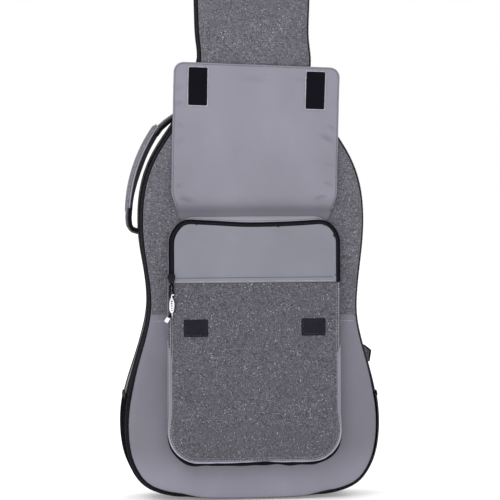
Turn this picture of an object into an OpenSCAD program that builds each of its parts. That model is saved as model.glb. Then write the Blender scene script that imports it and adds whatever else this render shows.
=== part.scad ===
// Padded gig bag for an electric guitar, hung by the loop at its headstock end.
// Bag frame: X to the right, Y to the back, Z up from the base; hang() then lowers the
// whole bag so that the eye of its hanging loop is the origin.

/* [Body outline] */
// Length from the base to the top of the headstock end
body_len = 1060; // [1040:5:1080]
// Width across the lower bout
lower_w = 371; // [366:1:376]
// Height of the lower bout's widest point
lower_z = 110; // [105:1:115]
// Width across the waist
waist_w = 301; // [296:1:306]
// Height of the waist
waist_z = 284; // [280:1:288]
// Width across the upper bout
upper_w = 324.6; // [320:0.2:330]
// Height of the upper bout's widest point
upper_z = 405; // [401:1:409]
// Width of the neck where it leaves the shoulders
neck_w = 163; // [158:1:168]
// Height where the neck leaves the shoulders
neck_z = 640; // [635:1:645]
// Width across the headstock end
head_w = 184; // [178:1:190]
// Height of the headstock end's widest point
head_z = 960; // [950:1:970]

/* [Padding] */
// Thickness of every padded wall
wall = 15; // [13:1:16]
// Thickness of a cover or lining
skin = 1.5; // [1:0.25:2]
// Depth of the bag from its front face to its back face
body_depth = 94; // [90:1:100]

/* [Front pocket] */
// Width of the front pocket
pocket_w = 248; // [244:1:252]
// Height of the pocket's lower edge
pocket_low = 58; // [54:1:62]
// Height of the pocket's upper edge
pocket_top = 406; // [404:1:407]
// Depth of the pocket at its upper edge
pocket_shallow = 12; // [11:0.5:13]
// Depth of the pocket at its lower edge
pocket_deep = 28; // [26:1:30]
// Height of the seam at the foot of the pocket's mouth
mouth_z = 315.5; // [311:0.5:320]

/* [Flap] */
// Height of the flap's top edge when it is folded up
flap_top = 628.6; // [620:0.2:632]
// Width of the flap at its free end
flap_w = 238.4; // [236:0.2:239]
// Width of the flap at its hinge
flap_root_w = 199; // [195:1:203]

/* [Shoulder straps] */
// Length of each padded shoulder strap
strap_len = 288; // [280:1:292]
// Width of each padded shoulder strap
strap_w = 62; // [56:1:64]

/* [Hidden] */
$fn = 32;

eps = 0.01;
big = 2400;

// Planes across the depth, from the front to the back.
front_y = -body_depth / 2;
back_y = body_depth / 2;
lid_back = front_y + wall;
gusset_front = lid_back + 0.3;
gusset_back = back_y - wall;
teeth_y = front_y + 8.1;
teeth_deep = 1.8;

// How far each ring lies inside the outline.
lid_inset = 5;
back_inset = 6;

// Front seam between the heather and the smooth cover.
seam_z = 267;

// Hanging loop.
loop_w = 32;
loop_web = 3;
loop_deep = 25;
loop_rise = 58;
hang_z = body_len + loop_rise - loop_web;

// Lengths of the curve handles of the outline, upwards from the base.
base_arm = 132;
lower_arms = [106, 64];
waist_arms = [47, 44.5];
upper_arms = [55.5, 126.5];
neck_arms = [109, 120];
head_arms = [110, 62];
top_arm = 60;

half_outline = [
    [[0, 0], [base_arm, 0], [lower_w / 2, lower_z - lower_arms[0]], [lower_w / 2, lower_z]],
    arms_between(lower_w, lower_z, lower_arms[1], waist_w, waist_z, waist_arms[0]),
    arms_between(waist_w, waist_z, waist_arms[1], upper_w, upper_z, upper_arms[0]),
    arms_between(upper_w, upper_z, upper_arms[1], neck_w, neck_z, neck_arms[0]),
    arms_between(neck_w, neck_z, neck_arms[1], head_w, head_z, head_arms[0]),
    [[head_w / 2, head_z], [head_w / 2, head_z + head_arms[1]], [top_arm, body_len], [0, body_len]]
];
outline_steps = [12, 7, 6, 10, 5, 9];

// A stretch whose two ends both run straight up.
function arms_between(w0, z0, arm0, w1, z1, arm1) =
    [[w0 / 2, z0], [w0 / 2, z0 + arm0], [w1 / 2, z1 - arm1], [w1 / 2, z1]];

function bezier(p, t) =
    pow(1 - t, 3) * p[0] + 3 * pow(1 - t, 2) * t * p[1]
    + 3 * (1 - t) * t * t * p[2] + pow(t, 3) * p[3];

function bezier_slope(p, t) =
    pow(1 - t, 2) * (p[1] - p[0]) + 2 * (1 - t) * t * (p[2] - p[1]) + t * t * (p[3] - p[2]);

// Unit normal to the right of the direction of travel.
function bezier_normal(p, t) =
    let (d = bezier_slope(p, t)) [d[1], -d[0]] / norm(d);

function mirrored(points) = [for (i = [len(points) - 1:-1:0]) [-points[i][0], points[i][1]]];

// Right half of the outline, drawn in by inset.
function half_points(inset) = [
    for (s = [0:len(half_outline) - 1]) for (i = [0:outline_steps[s] - 1])
        let (p = half_outline[s], t = i / outline_steps[s])
            bezier(p, t) - inset * bezier_normal(p, t)
];

// Whole outline, drawn in by inset.
function outline(inset) =
    let (right = half_points(inset), rising = [for (i = [1:len(right) - 1]) right[i]])
        concat([[0, inset]], rising, [[0, body_len - inset]], mirrored(rising));

function arc(x, z, r, from, to, steps) =
    [for (i = [0:steps]) let (a = from + (to - from) * i / steps) [x + r * cos(a), z + r * sin(a)]];

// Pocket outline, drawn in by inset.
pocket_low_r = 43;
pocket_top_r = 34;
function pocket_outline(inset) =
    let (
        x = pocket_w / 2,
        low = arc(x - pocket_low_r, pocket_low + pocket_low_r, pocket_low_r - inset, -90, 0, 6),
        top = arc(x - pocket_top_r, pocket_top - pocket_top_r, pocket_top_r - inset, 0, 90, 6),
        right = concat(low, top)
    ) concat(right, mirrored(right));

// An outline in the XZ plane, made solid from the depth front to the depth back.
module plate(points, front, back) {
    translate([0, back, 0]) rotate([90, 0, 0]) linear_extrude(back - front) polygon(points);
}

module ring(outer, inner, front, back) {
    difference() {
        plate(outer, front, back);
        plate(inner, front - 1, back + 1);
    }
}

module block(x, y, z) {
    translate([x[0], y[0], z[0]]) cube([x[1] - x[0], y[1] - y[0], z[1] - z[0]]);
}

module above(z) {
    intersection() {
        children();
        block([-big, big], [-big, big], [z, big]);
    }
}

module below(z) {
    intersection() {
        children();
        block([-big, big], [-big, big], [-big, z]);
    }
}

module hang() {
    translate([0, 0, -hang_z]) children();
}

// ---- Back panel ----

module back_outer() {
    color("dimgray") hang() plate(outline(back_inset), back_y - skin, back_y);
}

module back_foam() {
    color("gainsboro") hang() plate(outline(back_inset), gusset_back + skin, back_y - skin);
}

module back_lining() {
    color("black") hang() plate(outline(back_inset), gusset_back, gusset_back + skin);
}

module back_piping() {
    color("darkgray") hang()
        ring(outline(2), outline(back_inset), gusset_back, gusset_back + 4);
}

// ---- Gusset ----

module gusset_outer() {
    color("dimgray") hang() ring(outline(0), outline(skin), gusset_front, gusset_back);
}

module gusset_foam() {
    color("gainsboro") hang()
        ring(outline(skin), outline(wall - skin), gusset_front, gusset_back);
}

module gusset_lining() {
    color("black") hang() ring(outline(wall - skin), outline(wall), gusset_front, gusset_back);
}

// The guard wraps the lower bout, and its underside is flat, so the bag can be set down.
guard_thick = 2;
guard_top = 152;
guard_flat = 1.5;

module base_guard() {
    color("black") hang() intersection() {
        ring(outline(-guard_thick), outline(0), gusset_front, gusset_back);
        block([-big, big], [-big, big], [-guard_flat, guard_top]);
    }
}

// ---- Main zip and the fabric hinge of the lid ----

hinge_low = 60;
hinge_high = 150;

module without_hinge() {
    difference() {
        children();
        block([100, big], [-big, big], [hinge_low, hinge_high]);
    }
}

module hinge_strip() {
    color("gray") hang() intersection() {
        ring(outline(0.4), outline(1.4), teeth_y + teeth_deep, gusset_front);
        block([100, big], [-big, big], [hinge_low + 1, hinge_high - 1]);
    }
}

module gusset_zip_tape() {
    color("black") hang() without_hinge()
        ring(outline(0.4), outline(1.4), teeth_y, gusset_front);
}

module gusset_zip_teeth() {
    color("black") hang() without_hinge()
        ring(outline(0.4), outline(2.2), teeth_y - teeth_deep, teeth_y);
}

module lid_zip_tape() {
    color("black") hang() without_hinge()
        ring(outline(4), outline(lid_inset), teeth_y, lid_back - 1);
}

module lid_zip_teeth() {
    color("black") hang() without_hinge()
        ring(outline(2.6), outline(lid_inset), teeth_y - teeth_deep, teeth_y);
}

// Both sliders ride on the straight run down the left of the neck.
slider_upper_z = 812;
slider_lower_z = 766;
neck_lean = atan2((head_w - neck_w) / 2, head_z - neck_z);

// Half-width of the bag at a height on the neck, taken as a straight run.
function neck_half(z) = neck_w / 2 + (z - neck_z) * tan(neck_lean);

module on_neck(z) {
    translate([-neck_half(z) - 1.6, teeth_y - 1, z]) rotate([0, -neck_lean, 0]) children();
}

// Zip slider: a wedge with two bridge ears on top, drawn with its face towards +Z and
// its nose towards +Y. The ears' foot is at ears_y.
slider_w = 11;
slider_long = 13;
slider_thick = 3.4;
bridge_high = 3;
bridge_long = 5.2;

module slider(ears_y) {
    linear_extrude(slider_thick) polygon([
        [-slider_w * 0.32, -slider_long / 2], [slider_w * 0.32, -slider_long / 2],
        [slider_w / 2, slider_long * 0.1], [slider_w * 0.42, slider_long / 2],
        [-slider_w * 0.42, slider_long / 2], [-slider_w / 2, slider_long * 0.1]
    ]);
    for (side = [-1, 1])
        translate([side * 2.6 - 0.8, ears_y, slider_thick - eps])
            cube([1.6, bridge_long, bridge_high]);
}

// Flat metal pull that hangs from its pin, drawn in the XZ plane with the pin at the origin.
pull_long = 30;

module flat_pull() {
    difference() {
        rotate([90, 0, 0]) translate([0, 0, -0.7]) linear_extrude(1.4) polygon([
            [-1.3, 1.4], [1.3, 1.4], [1.3, -4], [3.6, -8], [3.6, -pull_long + 3],
            [1.8, -pull_long], [-1.8, -pull_long], [-3.6, -pull_long + 3],
            [-3.6, -8], [-1.3, -4]
        ]);
        translate([0, 0, -pull_long + 7]) rotate([90, 0, 0])
            cylinder(r = 1.7, h = 4, center = true);
    }
}

// Where the pull hangs: how far out from the slider's foot and below its middle.
pin_out = slider_thick + bridge_high - 1.4;
pin_down = slider_long * 0.25;

// A slider that faces left, with its nose up.
module left_slider() {
    rotate([0, -90, 0]) rotate([0, 0, -90]) slider(-pin_down - bridge_long / 2);
}

module main_slider_upper() {
    color("dimgray") hang() on_neck(slider_upper_z) left_slider();
}

module main_slider_lower() {
    color("dimgray") hang() on_neck(slider_lower_z) left_slider();
}

module left_pull() {
    translate([-pin_out, 0, -pin_down]) rotate([0, 0, 90]) flat_pull();
}

module main_pull_upper() {
    color("silver") hang() on_neck(slider_upper_z) left_pull();
}

module main_pull_lower() {
    color("silver") hang() on_neck(slider_lower_z) left_pull();
}

// ---- Inside ----

module head_pad() {
    color("black") hang()
        block([-50, 50], [gusset_front + 3, gusset_back], [body_len - 66, body_len - 42]);
}

cradle_low = 690;
cradle_high = 770;
cradle_half = 48;
cradle_face = gusset_back - 15;

module neck_cradle() {
    color("black") hang()
        block([-cradle_half, cradle_half], [cradle_face, gusset_back], [cradle_low, cradle_high]);
}

module end_pin_pad() {
    color("black") hang() block([-36, 36], [-24, 28], [wall + 0.8, wall + 12]);
}

// A hook-and-loop strap over the cradle: its left half is glued down, and its right half
// folds over it from the right.
cradle_strap_x = 40;
cradle_strap_lap = 4;
cradle_strap_z = [cradle_low + 22, cradle_high - 20];

module cradle_strap_left() {
    color("darkslategray") hang() block(
        [-cradle_strap_x, cradle_strap_lap], [cradle_face - 1.8, cradle_face], cradle_strap_z);
}

module cradle_strap_right() {
    color("darkslategray") hang() block(
        [-cradle_strap_lap, cradle_strap_x], [cradle_face - 4, cradle_face - 2.2], cradle_strap_z);
}

// ---- Hanging loop ----

module hang_loop() {
    loop_in = loop_w / 2 - loop_web;
    color("black") hang() difference() {
        plate(
            concat([[loop_w / 2, body_len - 4]],
                arc(0, body_len + loop_rise - loop_w / 2, loop_w / 2, 0, 180, 10),
                [[-loop_w / 2, body_len - 4]]),
            -loop_deep / 2, loop_deep / 2);
        plate(
            concat([[loop_in, body_len + 5]],
                arc(0, body_len + loop_rise - loop_w / 2, loop_in, 0, 180, 10),
                [[-loop_in, body_len + 5]]),
            -loop_deep, loop_deep);
        plate(outline(0), -loop_deep, loop_deep);
    }
}

// ---- Side handle ----

// The grip follows an arc in the XZ plane; the handle swings about the chord
// between its two anchors.
handle_x = 44;
handle_z = 410;
handle_r = 218.5;
handle_from = 146.5;
handle_to = 177.5;
handle_half = 5.2;
handle_wide = 30;

// A band of the handle between two radii and two angles.
module handle_band(inner, outer, from, to, wide) {
    plate(
        concat(arc(handle_x, handle_z, outer, from, to, 8), arc(handle_x, handle_z, inner, to, from, 8)),
        -wide / 2, wide / 2);
}

// Both ends of the grip narrow towards its anchors.
module narrow_ends() {
    wide = handle_wide / 2;
    intersection() {
        children();
        translate([handle_x, 0, handle_z]) rotate([0, 90 - (handle_from + handle_to) / 2, 0])
            linear_extrude(big) polygon([
                [-70, -7], [-30, -wide], [30, -wide], [70, -7],
                [70, 7], [30, wide], [-30, wide], [-70, 7]
            ]);
    }
}

module handle_grip() {
    color("gray") hang() narrow_ends()
        handle_band(handle_r, handle_r + handle_half, handle_from, handle_to, handle_wide);
}

module handle_pad() {
    color("black") hang() narrow_ends()
        handle_band(handle_r - handle_half, handle_r, handle_from, handle_to, handle_wide);
}

// Each anchor is a strip of webbing from the gusset to an end of the grip.
anchor_wide = 26;
anchor_half = 2;

module handle_anchor(from, to) {
    along = (to - from) / norm(to - from);
    side = anchor_half * [-along[1], along[0]];
    difference() {
        plate([from + side, to + side, to - side, from - side], -anchor_wide / 2, anchor_wide / 2);
        plate(outline(0), -anchor_wide, anchor_wide);
    }
}

module handle_anchor_upper() {
    color("black") hang() handle_anchor([-103, 557], [-137, 534.8]);
}

module handle_anchor_lower() {
    color("black") hang() handle_anchor([-161, 384], [-174, 415.5]);
}

// ---- Shoulder straps ----

strap_top = [50, 590];
strap_foot = [140, 205];
strap_lean = atan2(strap_foot[0] - strap_top[0], strap_top[1] - strap_foot[1]);
strap_run = norm(strap_foot - strap_top);
strap_y = back_y + 2.4;
strap_thick = 14;
lock_long = 34;
web_w = 30;
web_thick = 1.5;

// Children are drawn with the strap's top at the origin and the strap running down -Z.
module on_strap(side) {
    hang() mirror([side < 0 ? 1 : 0, 0, 0])
        translate([strap_top[0], 0, strap_top[1]]) rotate([0, -strap_lean, 0]) children();
}

module yoke_patch() {
    color("gray") hang() plate(
        [[-60, 560], [60, 560], [74, 600], [50, 645], [-50, 645], [-74, 600]],
        back_y, back_y + 1.6);
}

module padded_strap(side) {
    r = strap_w / 2;
    on_strap(side) plate(
        concat(arc(0, -r - 6, r, 20, 160, 8), arc(0, -strap_len + 20, 20, 180, 360, 8)),
        strap_y, strap_y + strap_thick);
}

module strap_left() {
    color("gray") padded_strap(-1);
}

module strap_right() {
    color("gray") padded_strap(1);
}

module ladder_lock(side) {
    low = -strap_len - lock_long - 2;
    on_strap(side) difference() {
        block([-20, 20], [strap_y + 2, strap_y + 7], [low, low + lock_long]);
        for (slot = [5, 20])
            block([-16, 16], [strap_y, strap_y + 9], [low + slot, low + slot + 7]);
    }
}

module lock_left() {
    color("black") ladder_lock(-1);
}

module lock_right() {
    color("black") ladder_lock(1);
}

module webbing(side) {
    on_strap(side) block(
        [-web_w / 2, web_w / 2], [back_y + 2, back_y + 2 + web_thick],
        [-strap_run - 4, -strap_len - lock_long - 3]);
}

module webbing_left() {
    color("black") webbing(-1);
}

module webbing_right() {
    color("black") webbing(1);
}

module strap_tail(side) {
    top = -strap_len - lock_long - 2.5;
    on_strap(side) block(
        [-web_w / 2 + 1, web_w / 2 - 1], [strap_y + 4, strap_y + 4 + web_thick], [top - 120, top]);
}

module tail_left() {
    color("black") strap_tail(-1);
}

module tail_right() {
    color("black") strap_tail(1);
}

// Fabric wing that carries the webbing, sewn to the side of the lower bout.
module wing(points) {
    hang() plate(points, back_y, back_y + 1.9);
}

module wing_left() {
    color("dimgray") wing(
        [[-122, 200], [-158, 208], [-165, 190], [-172, 165], [-170, 150], [-120, 150]]);
}

// The right wing's outer corner reaches past the side of the bag.
module wing_right() {
    color("dimgray") wing(
        [[120, 150], [181, 150], [178, 176], [185, 188], [187.5, 204], [177.5, 212], [122, 203]]);
}

// ---- Lid: the front panel ----

module lid_outer() {
    plate(outline(lid_inset), front_y, front_y + skin);
}

module lid_outer_upper() {
    color("dimgray") hang() above(seam_z) lid_outer();
}

module lid_outer_lower() {
    color("gray") hang() below(seam_z) lid_outer();
}

module lid_foam() {
    color("gainsboro") hang() plate(outline(lid_inset), front_y + skin, lid_back - skin);
}

module lid_lining() {
    color("black") hang() plate(outline(lid_inset), lid_back - skin, lid_back);
}

// ---- Front pocket ----

pocket_lean = atan2(pocket_deep - pocket_shallow, pocket_top - pocket_low);
pocket_cloth = 1.5;

// Children are drawn upright, with the pocket's walls ending at y = 0 and its front
// cloth before it; they lean back about the pocket's upper edge.
module on_pocket() {
    translate([0, front_y - pocket_shallow + pocket_cloth, pocket_top])
        rotate([-pocket_lean, 0, 0]) translate([0, 0, -pocket_top]) children();
}

module pocket_gusset() {
    color("dimgray") hang() difference() {
        plate(pocket_outline(0), front_y - 2 * pocket_deep, front_y);
        plate(pocket_outline(2), front_y - 3 * pocket_deep, front_y + 1);
        on_pocket() block([-big, big], [-big, 0], [-big, big]);
    }
}

module pocket_front() {
    color("dimgray") hang() on_pocket() below(mouth_z - 0.4)
        plate(pocket_outline(0), -pocket_cloth, 0);
}

module pocket_piping() {
    color("silver") hang() on_pocket() below(pocket_low + pocket_low_r)
        ring(pocket_outline(-1.6), pocket_outline(0), -pocket_cloth - 0.6, 0);
}

loop_patch_x = 85;
loop_patch_z = 251;
patch_thick = 1.4;

module loop_patches() {
    color("black") hang() on_pocket() for (side = [-1, 1])
        block(
            [side * loop_patch_x - 17.5, side * loop_patch_x + 17.5],
            [-pocket_cloth - patch_thick, -pocket_cloth],
            [loop_patch_z - 12.5, loop_patch_z + 12.5]);
}

// The zip's fixed half lies outside its centre line and its other half inside it.
zip_line = 4;
zip_gap = 0.25;
tape_w = 4.2;

// Behind the closed slider the zip's foot is sewn down, so the mouth doesn't move there.
zip_foot_x = -pocket_w / 2 + zip_line + 6.2;
zip_foot_z = mouth_z + 17;

module in_zip_foot() {
    intersection() {
        children();
        block([-big, zip_foot_x], [-big, big], [mouth_z, zip_foot_z]);
    }
}

module out_of_zip_foot() {
    difference() {
        children();
        block([-big, zip_foot_x + 0.3], [-big, big], [-big, zip_foot_z + 0.3]);
    }
}

module inner_tape() {
    ring(pocket_outline(zip_line + zip_gap), pocket_outline(zip_line + tape_w), -pocket_cloth, 0);
    ring(pocket_outline(zip_line + zip_gap), pocket_outline(zip_line + 1.3),
        -pocket_cloth - 1, -pocket_cloth);
}

module pocket_zip_tape() {
    color("black") hang() on_pocket() {
        above(mouth_z) ring(
            pocket_outline(0), pocket_outline(zip_line - zip_gap), -pocket_cloth, 0);
        above(mouth_z) ring(
            pocket_outline(zip_line - 1.3), pocket_outline(zip_line - zip_gap),
            -pocket_cloth - 1, -pocket_cloth);
        in_zip_foot() ring(
            pocket_outline(zip_line - zip_gap), pocket_outline(zip_line + 6),
            -pocket_cloth, 0);
    }
}

module mouth_zip_tape() {
    color("black") hang() on_pocket() out_of_zip_foot() above(mouth_z) inner_tape();
}

module mouth_panel() {
    color("gray") hang() on_pocket() out_of_zip_foot() above(mouth_z) {
        plate(pocket_outline(zip_line + tape_w), -pocket_cloth, 0);
        block([-pocket_w / 2 + 9, pocket_w / 2 - 9], [-pocket_cloth - 0.8, -pocket_cloth],
            [mouth_z, mouth_z + 8]);
    }
}

// Slider at the foot of the zip's left run, with a corded pull under it.
pocket_slider_x = -pocket_w / 2 + zip_line;
pocket_slider_z = 322.5;
pull_pin_y = -pocket_cloth - 4.4;
pull_pin_z = pocket_slider_z - slider_long / 2 - 1.5;

module on_pocket_pull() {
    hang() on_pocket() translate([pocket_slider_x, pull_pin_y, pull_pin_z]) children();
}

module pocket_slider() {
    color("dimgray") hang() on_pocket()
        translate([pocket_slider_x, -pocket_cloth - 1.3, pocket_slider_z])
            rotate([90, 0, 0]) slider(0);
}

module pull_cord() {
    color("black") on_pocket_pull() {
        for (side = [-1, 1])
            translate([side * 1.6, 0, -15]) cylinder(r = 1.1, h = 15);
        translate([0, 0, -50]) cylinder(r = 1.5, h = 6);
    }
}

module pull_grip() {
    color("whitesmoke") on_pocket_pull() translate([0, 0, -15]) rotate([90, 0, 0])
        translate([0, 0, -1.7]) linear_extrude(3.4)
            polygon([[-2.8, 0], [2.8, 0], [4.6, -14.5], [2.4, -29], [-2.4, -29], [-4.6, -14.5]]);
}

module pull_tip() {
    color("whitesmoke") on_pocket_pull() translate([0, 0, -59]) cylinder(r = 2.2, h = 9);
}

// ---- Flap, folded up against the lid ----

flap_low = 408;
flap_cut = 414;
flap_taper = 447;
flap_corner = 13.5;
flap_gap = 1.2;
flap_cloth = 1.2;
flap_board = 1.9;
flap_back = front_y - flap_gap;
flap_side = [
    [flap_root_w / 2, flap_low], [flap_root_w / 2 + 6.5, flap_low + 13],
    [flap_w / 2 - 6, flap_taper - 12], [flap_w / 2, flap_taper]
];

// Flap outline, drawn in by inset.
function flap_outline(inset) =
    let (
        edge = [for (i = [0:6]) bezier(flap_side, i / 6) - inset * bezier_normal(flap_side, i / 6)],
        corner = arc(flap_w / 2 - flap_corner, flap_top - flap_corner, flap_corner - inset, 0, 90, 5),
        right = concat(edge, corner)
    ) concat(right, mirrored(right));

module flap_layer(inset, front, thick) {
    hang() above(flap_cut + inset) plate(flap_outline(inset), front, front + thick);
}

module flap_outer() {
    color("dimgray") flap_layer(0, flap_back - flap_cloth, flap_cloth);
}

module flap_stiffener() {
    color("gainsboro") flap_layer(3, flap_back - flap_cloth - flap_board, flap_board);
}

module flap_lining() {
    color("silver") flap_layer(0, flap_back - 2 * flap_cloth - flap_board, flap_cloth);
}

// The strip that joins the flap to the lid, just above the pocket.
module flap_seam() {
    color("gray") hang() intersection() {
        plate(flap_outline(0), front_y - 4, front_y);
        block([-big, big], [-big, big], [flap_low, flap_cut - 1]);
    }
}

hook_patch_x = 84.5;
hook_patch_half = 13;
hook_patch_top = flap_top - 8;

module hook_patches() {
    face = flap_back - 2 * flap_cloth - flap_board;
    color("black") hang() for (side = [-1, 1])
        block(
            [side * hook_patch_x - hook_patch_half, side * hook_patch_x + hook_patch_half],
            [face - patch_thick, face], [hook_patch_top - 52, hook_patch_top]);
}

back_outer();
back_foam();
back_lining();
back_piping();
gusset_outer();
gusset_foam();
gusset_lining();
base_guard();
hinge_strip();
gusset_zip_tape();
gusset_zip_teeth();
head_pad();
neck_cradle();
end_pin_pad();
cradle_strap_left();
cradle_strap_right();
hang_loop();
yoke_patch();
wing_left();
wing_right();
webbing_left();
webbing_right();
handle_anchor_upper();
handle_anchor_lower();
handle_grip();
handle_pad();
strap_left();
strap_right();
lock_left();
lock_right();
tail_left();
tail_right();
main_slider_upper();
main_slider_lower();
main_pull_upper();
main_pull_lower();
lid_outer_upper();
lid_outer_lower();
lid_foam();
lid_lining();
lid_zip_tape();
lid_zip_teeth();
pocket_gusset();
pocket_front();
pocket_piping();
loop_patches();
pocket_zip_tape();
mouth_panel();
mouth_zip_tape();
pocket_slider();
pull_cord();
pull_grip();
pull_tip();
flap_seam();
flap_outer();
flap_stiffener();
flap_lining();
hook_patches();
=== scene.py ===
"""Padded gig bag: the look of every piece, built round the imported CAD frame.

Shapes are worked out in bag millimetres (x right, y back, z up from the base) and turned into
the row frame's metres when a mesh is made.
"""

import math

import bpy
import numpy as np
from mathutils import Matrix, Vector, geometry


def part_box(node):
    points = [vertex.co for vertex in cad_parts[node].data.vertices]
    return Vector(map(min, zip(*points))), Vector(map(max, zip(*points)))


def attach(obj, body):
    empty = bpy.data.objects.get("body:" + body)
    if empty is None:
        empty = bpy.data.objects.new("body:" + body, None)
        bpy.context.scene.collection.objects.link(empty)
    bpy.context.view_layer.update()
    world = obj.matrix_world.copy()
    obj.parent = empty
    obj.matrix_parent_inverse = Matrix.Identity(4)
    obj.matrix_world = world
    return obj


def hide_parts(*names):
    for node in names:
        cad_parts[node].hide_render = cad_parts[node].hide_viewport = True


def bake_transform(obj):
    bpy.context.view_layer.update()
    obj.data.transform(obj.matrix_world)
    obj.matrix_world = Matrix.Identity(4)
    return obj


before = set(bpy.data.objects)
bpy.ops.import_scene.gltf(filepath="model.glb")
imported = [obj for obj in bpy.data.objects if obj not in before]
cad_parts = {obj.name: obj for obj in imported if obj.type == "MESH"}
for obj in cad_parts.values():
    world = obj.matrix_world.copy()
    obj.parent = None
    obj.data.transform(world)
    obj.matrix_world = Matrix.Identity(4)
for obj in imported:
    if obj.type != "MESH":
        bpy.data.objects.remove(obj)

MM = 0.001
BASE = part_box("gusset_outer")[0].z
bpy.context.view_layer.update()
# The sides of the bag as the photograph shows it.
SIDES = ((-1, "left"), (1, "right"))


# ---------------------------------------------------------------- camera, floor and light

AZIMUTH, ELEVATION, DISTANCE, LENS = -7.0, 4.0, 4.0, 200.0
LOOK_AT = Vector((-0.0043, -0.045, BASE + 0.3614))
LAMPS_AT = Vector((0, 0, BASE + 0.45))
# Name, azimuth, elevation, distance, width, height and power.
LAMPS = (
    ("key", -40, 38, 3.2, 1.6, 1.6, 24),
    ("fill", 55, 25, 3.4, 1.6, 2.0, 8),
    ("low", -12, -9, 2.0, 1.5, 0.12, 9),
    ("back_left", 140, 35, 3.4, 1.6, 1.6, 16),
    ("back_right", 225, 35, 3.4, 1.6, 1.6, 16),
)
WHITE = (1, 1, 1, 1)
FLOOR_GREY, FLOOR_GLOW, FLOOR_REACH = 0.86, 0.22, 9


def looking(name, data, azimuth, elevation, distance, target):
    """An object that looks at a target from an angle and a distance."""
    a, e = math.radians(azimuth), math.radians(elevation)
    back = Vector((math.sin(a) * math.cos(e), -math.cos(a) * math.cos(e), math.sin(e)))
    ob = bpy.data.objects.new(name, data)
    bpy.context.scene.collection.objects.link(ob)
    ob.rotation_mode = "QUATERNION"
    ob.location, ob.rotation_quaternion = target + back * distance, (-back).to_track_quat("-Z", "Y")
    return ob


def make_camera():
    data = bpy.data.cameras.new("camera")
    data.lens, data.sensor_width, data.clip_end = LENS, 36.0, 60
    bpy.context.scene.camera = looking("camera", data, AZIMUTH, ELEVATION, DISTANCE, LOOK_AT)


def make_light():
    scene = bpy.context.scene
    scene.view_settings.view_transform = "Standard"
    scene.world = bpy.data.worlds.new("studio")
    scene.world.use_nodes = True
    background = scene.world.node_tree.nodes["Background"]
    background.inputs["Color"].default_value = WHITE
    background.inputs["Strength"].default_value = 1.0
    for name, azimuth, elevation, distance, width, height, power in LAMPS:
        data = bpy.data.lights.new(name, "AREA")
        data.shape, data.size, data.size_y, data.energy = "RECTANGLE", width, height, power
        looking(name, data, azimuth, elevation, distance, LAMPS_AT)


def make_floor():
    low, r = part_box("base_guard")[0].z, FLOOR_REACH
    me = bpy.data.meshes.new("floor")
    me.from_pydata([(x, y, low) for x, y in ((-r, -r), (r, -r), (r, r), (-r, r))], [], [(0, 1, 2, 3)])
    floor = bpy.data.objects.new("floor", me)
    bpy.context.scene.collection.objects.link(floor)
    mat = bpy.data.materials.new("floor")
    mat.use_nodes = True
    inputs = mat.node_tree.nodes["Principled BSDF"].inputs
    inputs["Base Color"].default_value = (FLOOR_GREY, FLOOR_GREY, FLOOR_GREY, 1)
    inputs["Roughness"].default_value = 0.9
    inputs["Emission Color"].default_value = WHITE
    inputs["Emission Strength"].default_value = FLOOR_GLOW
    me.materials.append(mat)


make_camera()
make_light()
make_floor()


# ---------------------------------------------------------------- materials


def shade(mid, times=1.0, plus=0.0):
    """A colour from 0 to 255, made darker or lighter, as Blender's linear values."""
    c = [min(255, v * times + plus) for v in mid]
    return tuple(((v / 255 + 0.055) / 1.055) ** 2.4 if v > 10 else v / 255 / 12.92 for v in c)


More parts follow.
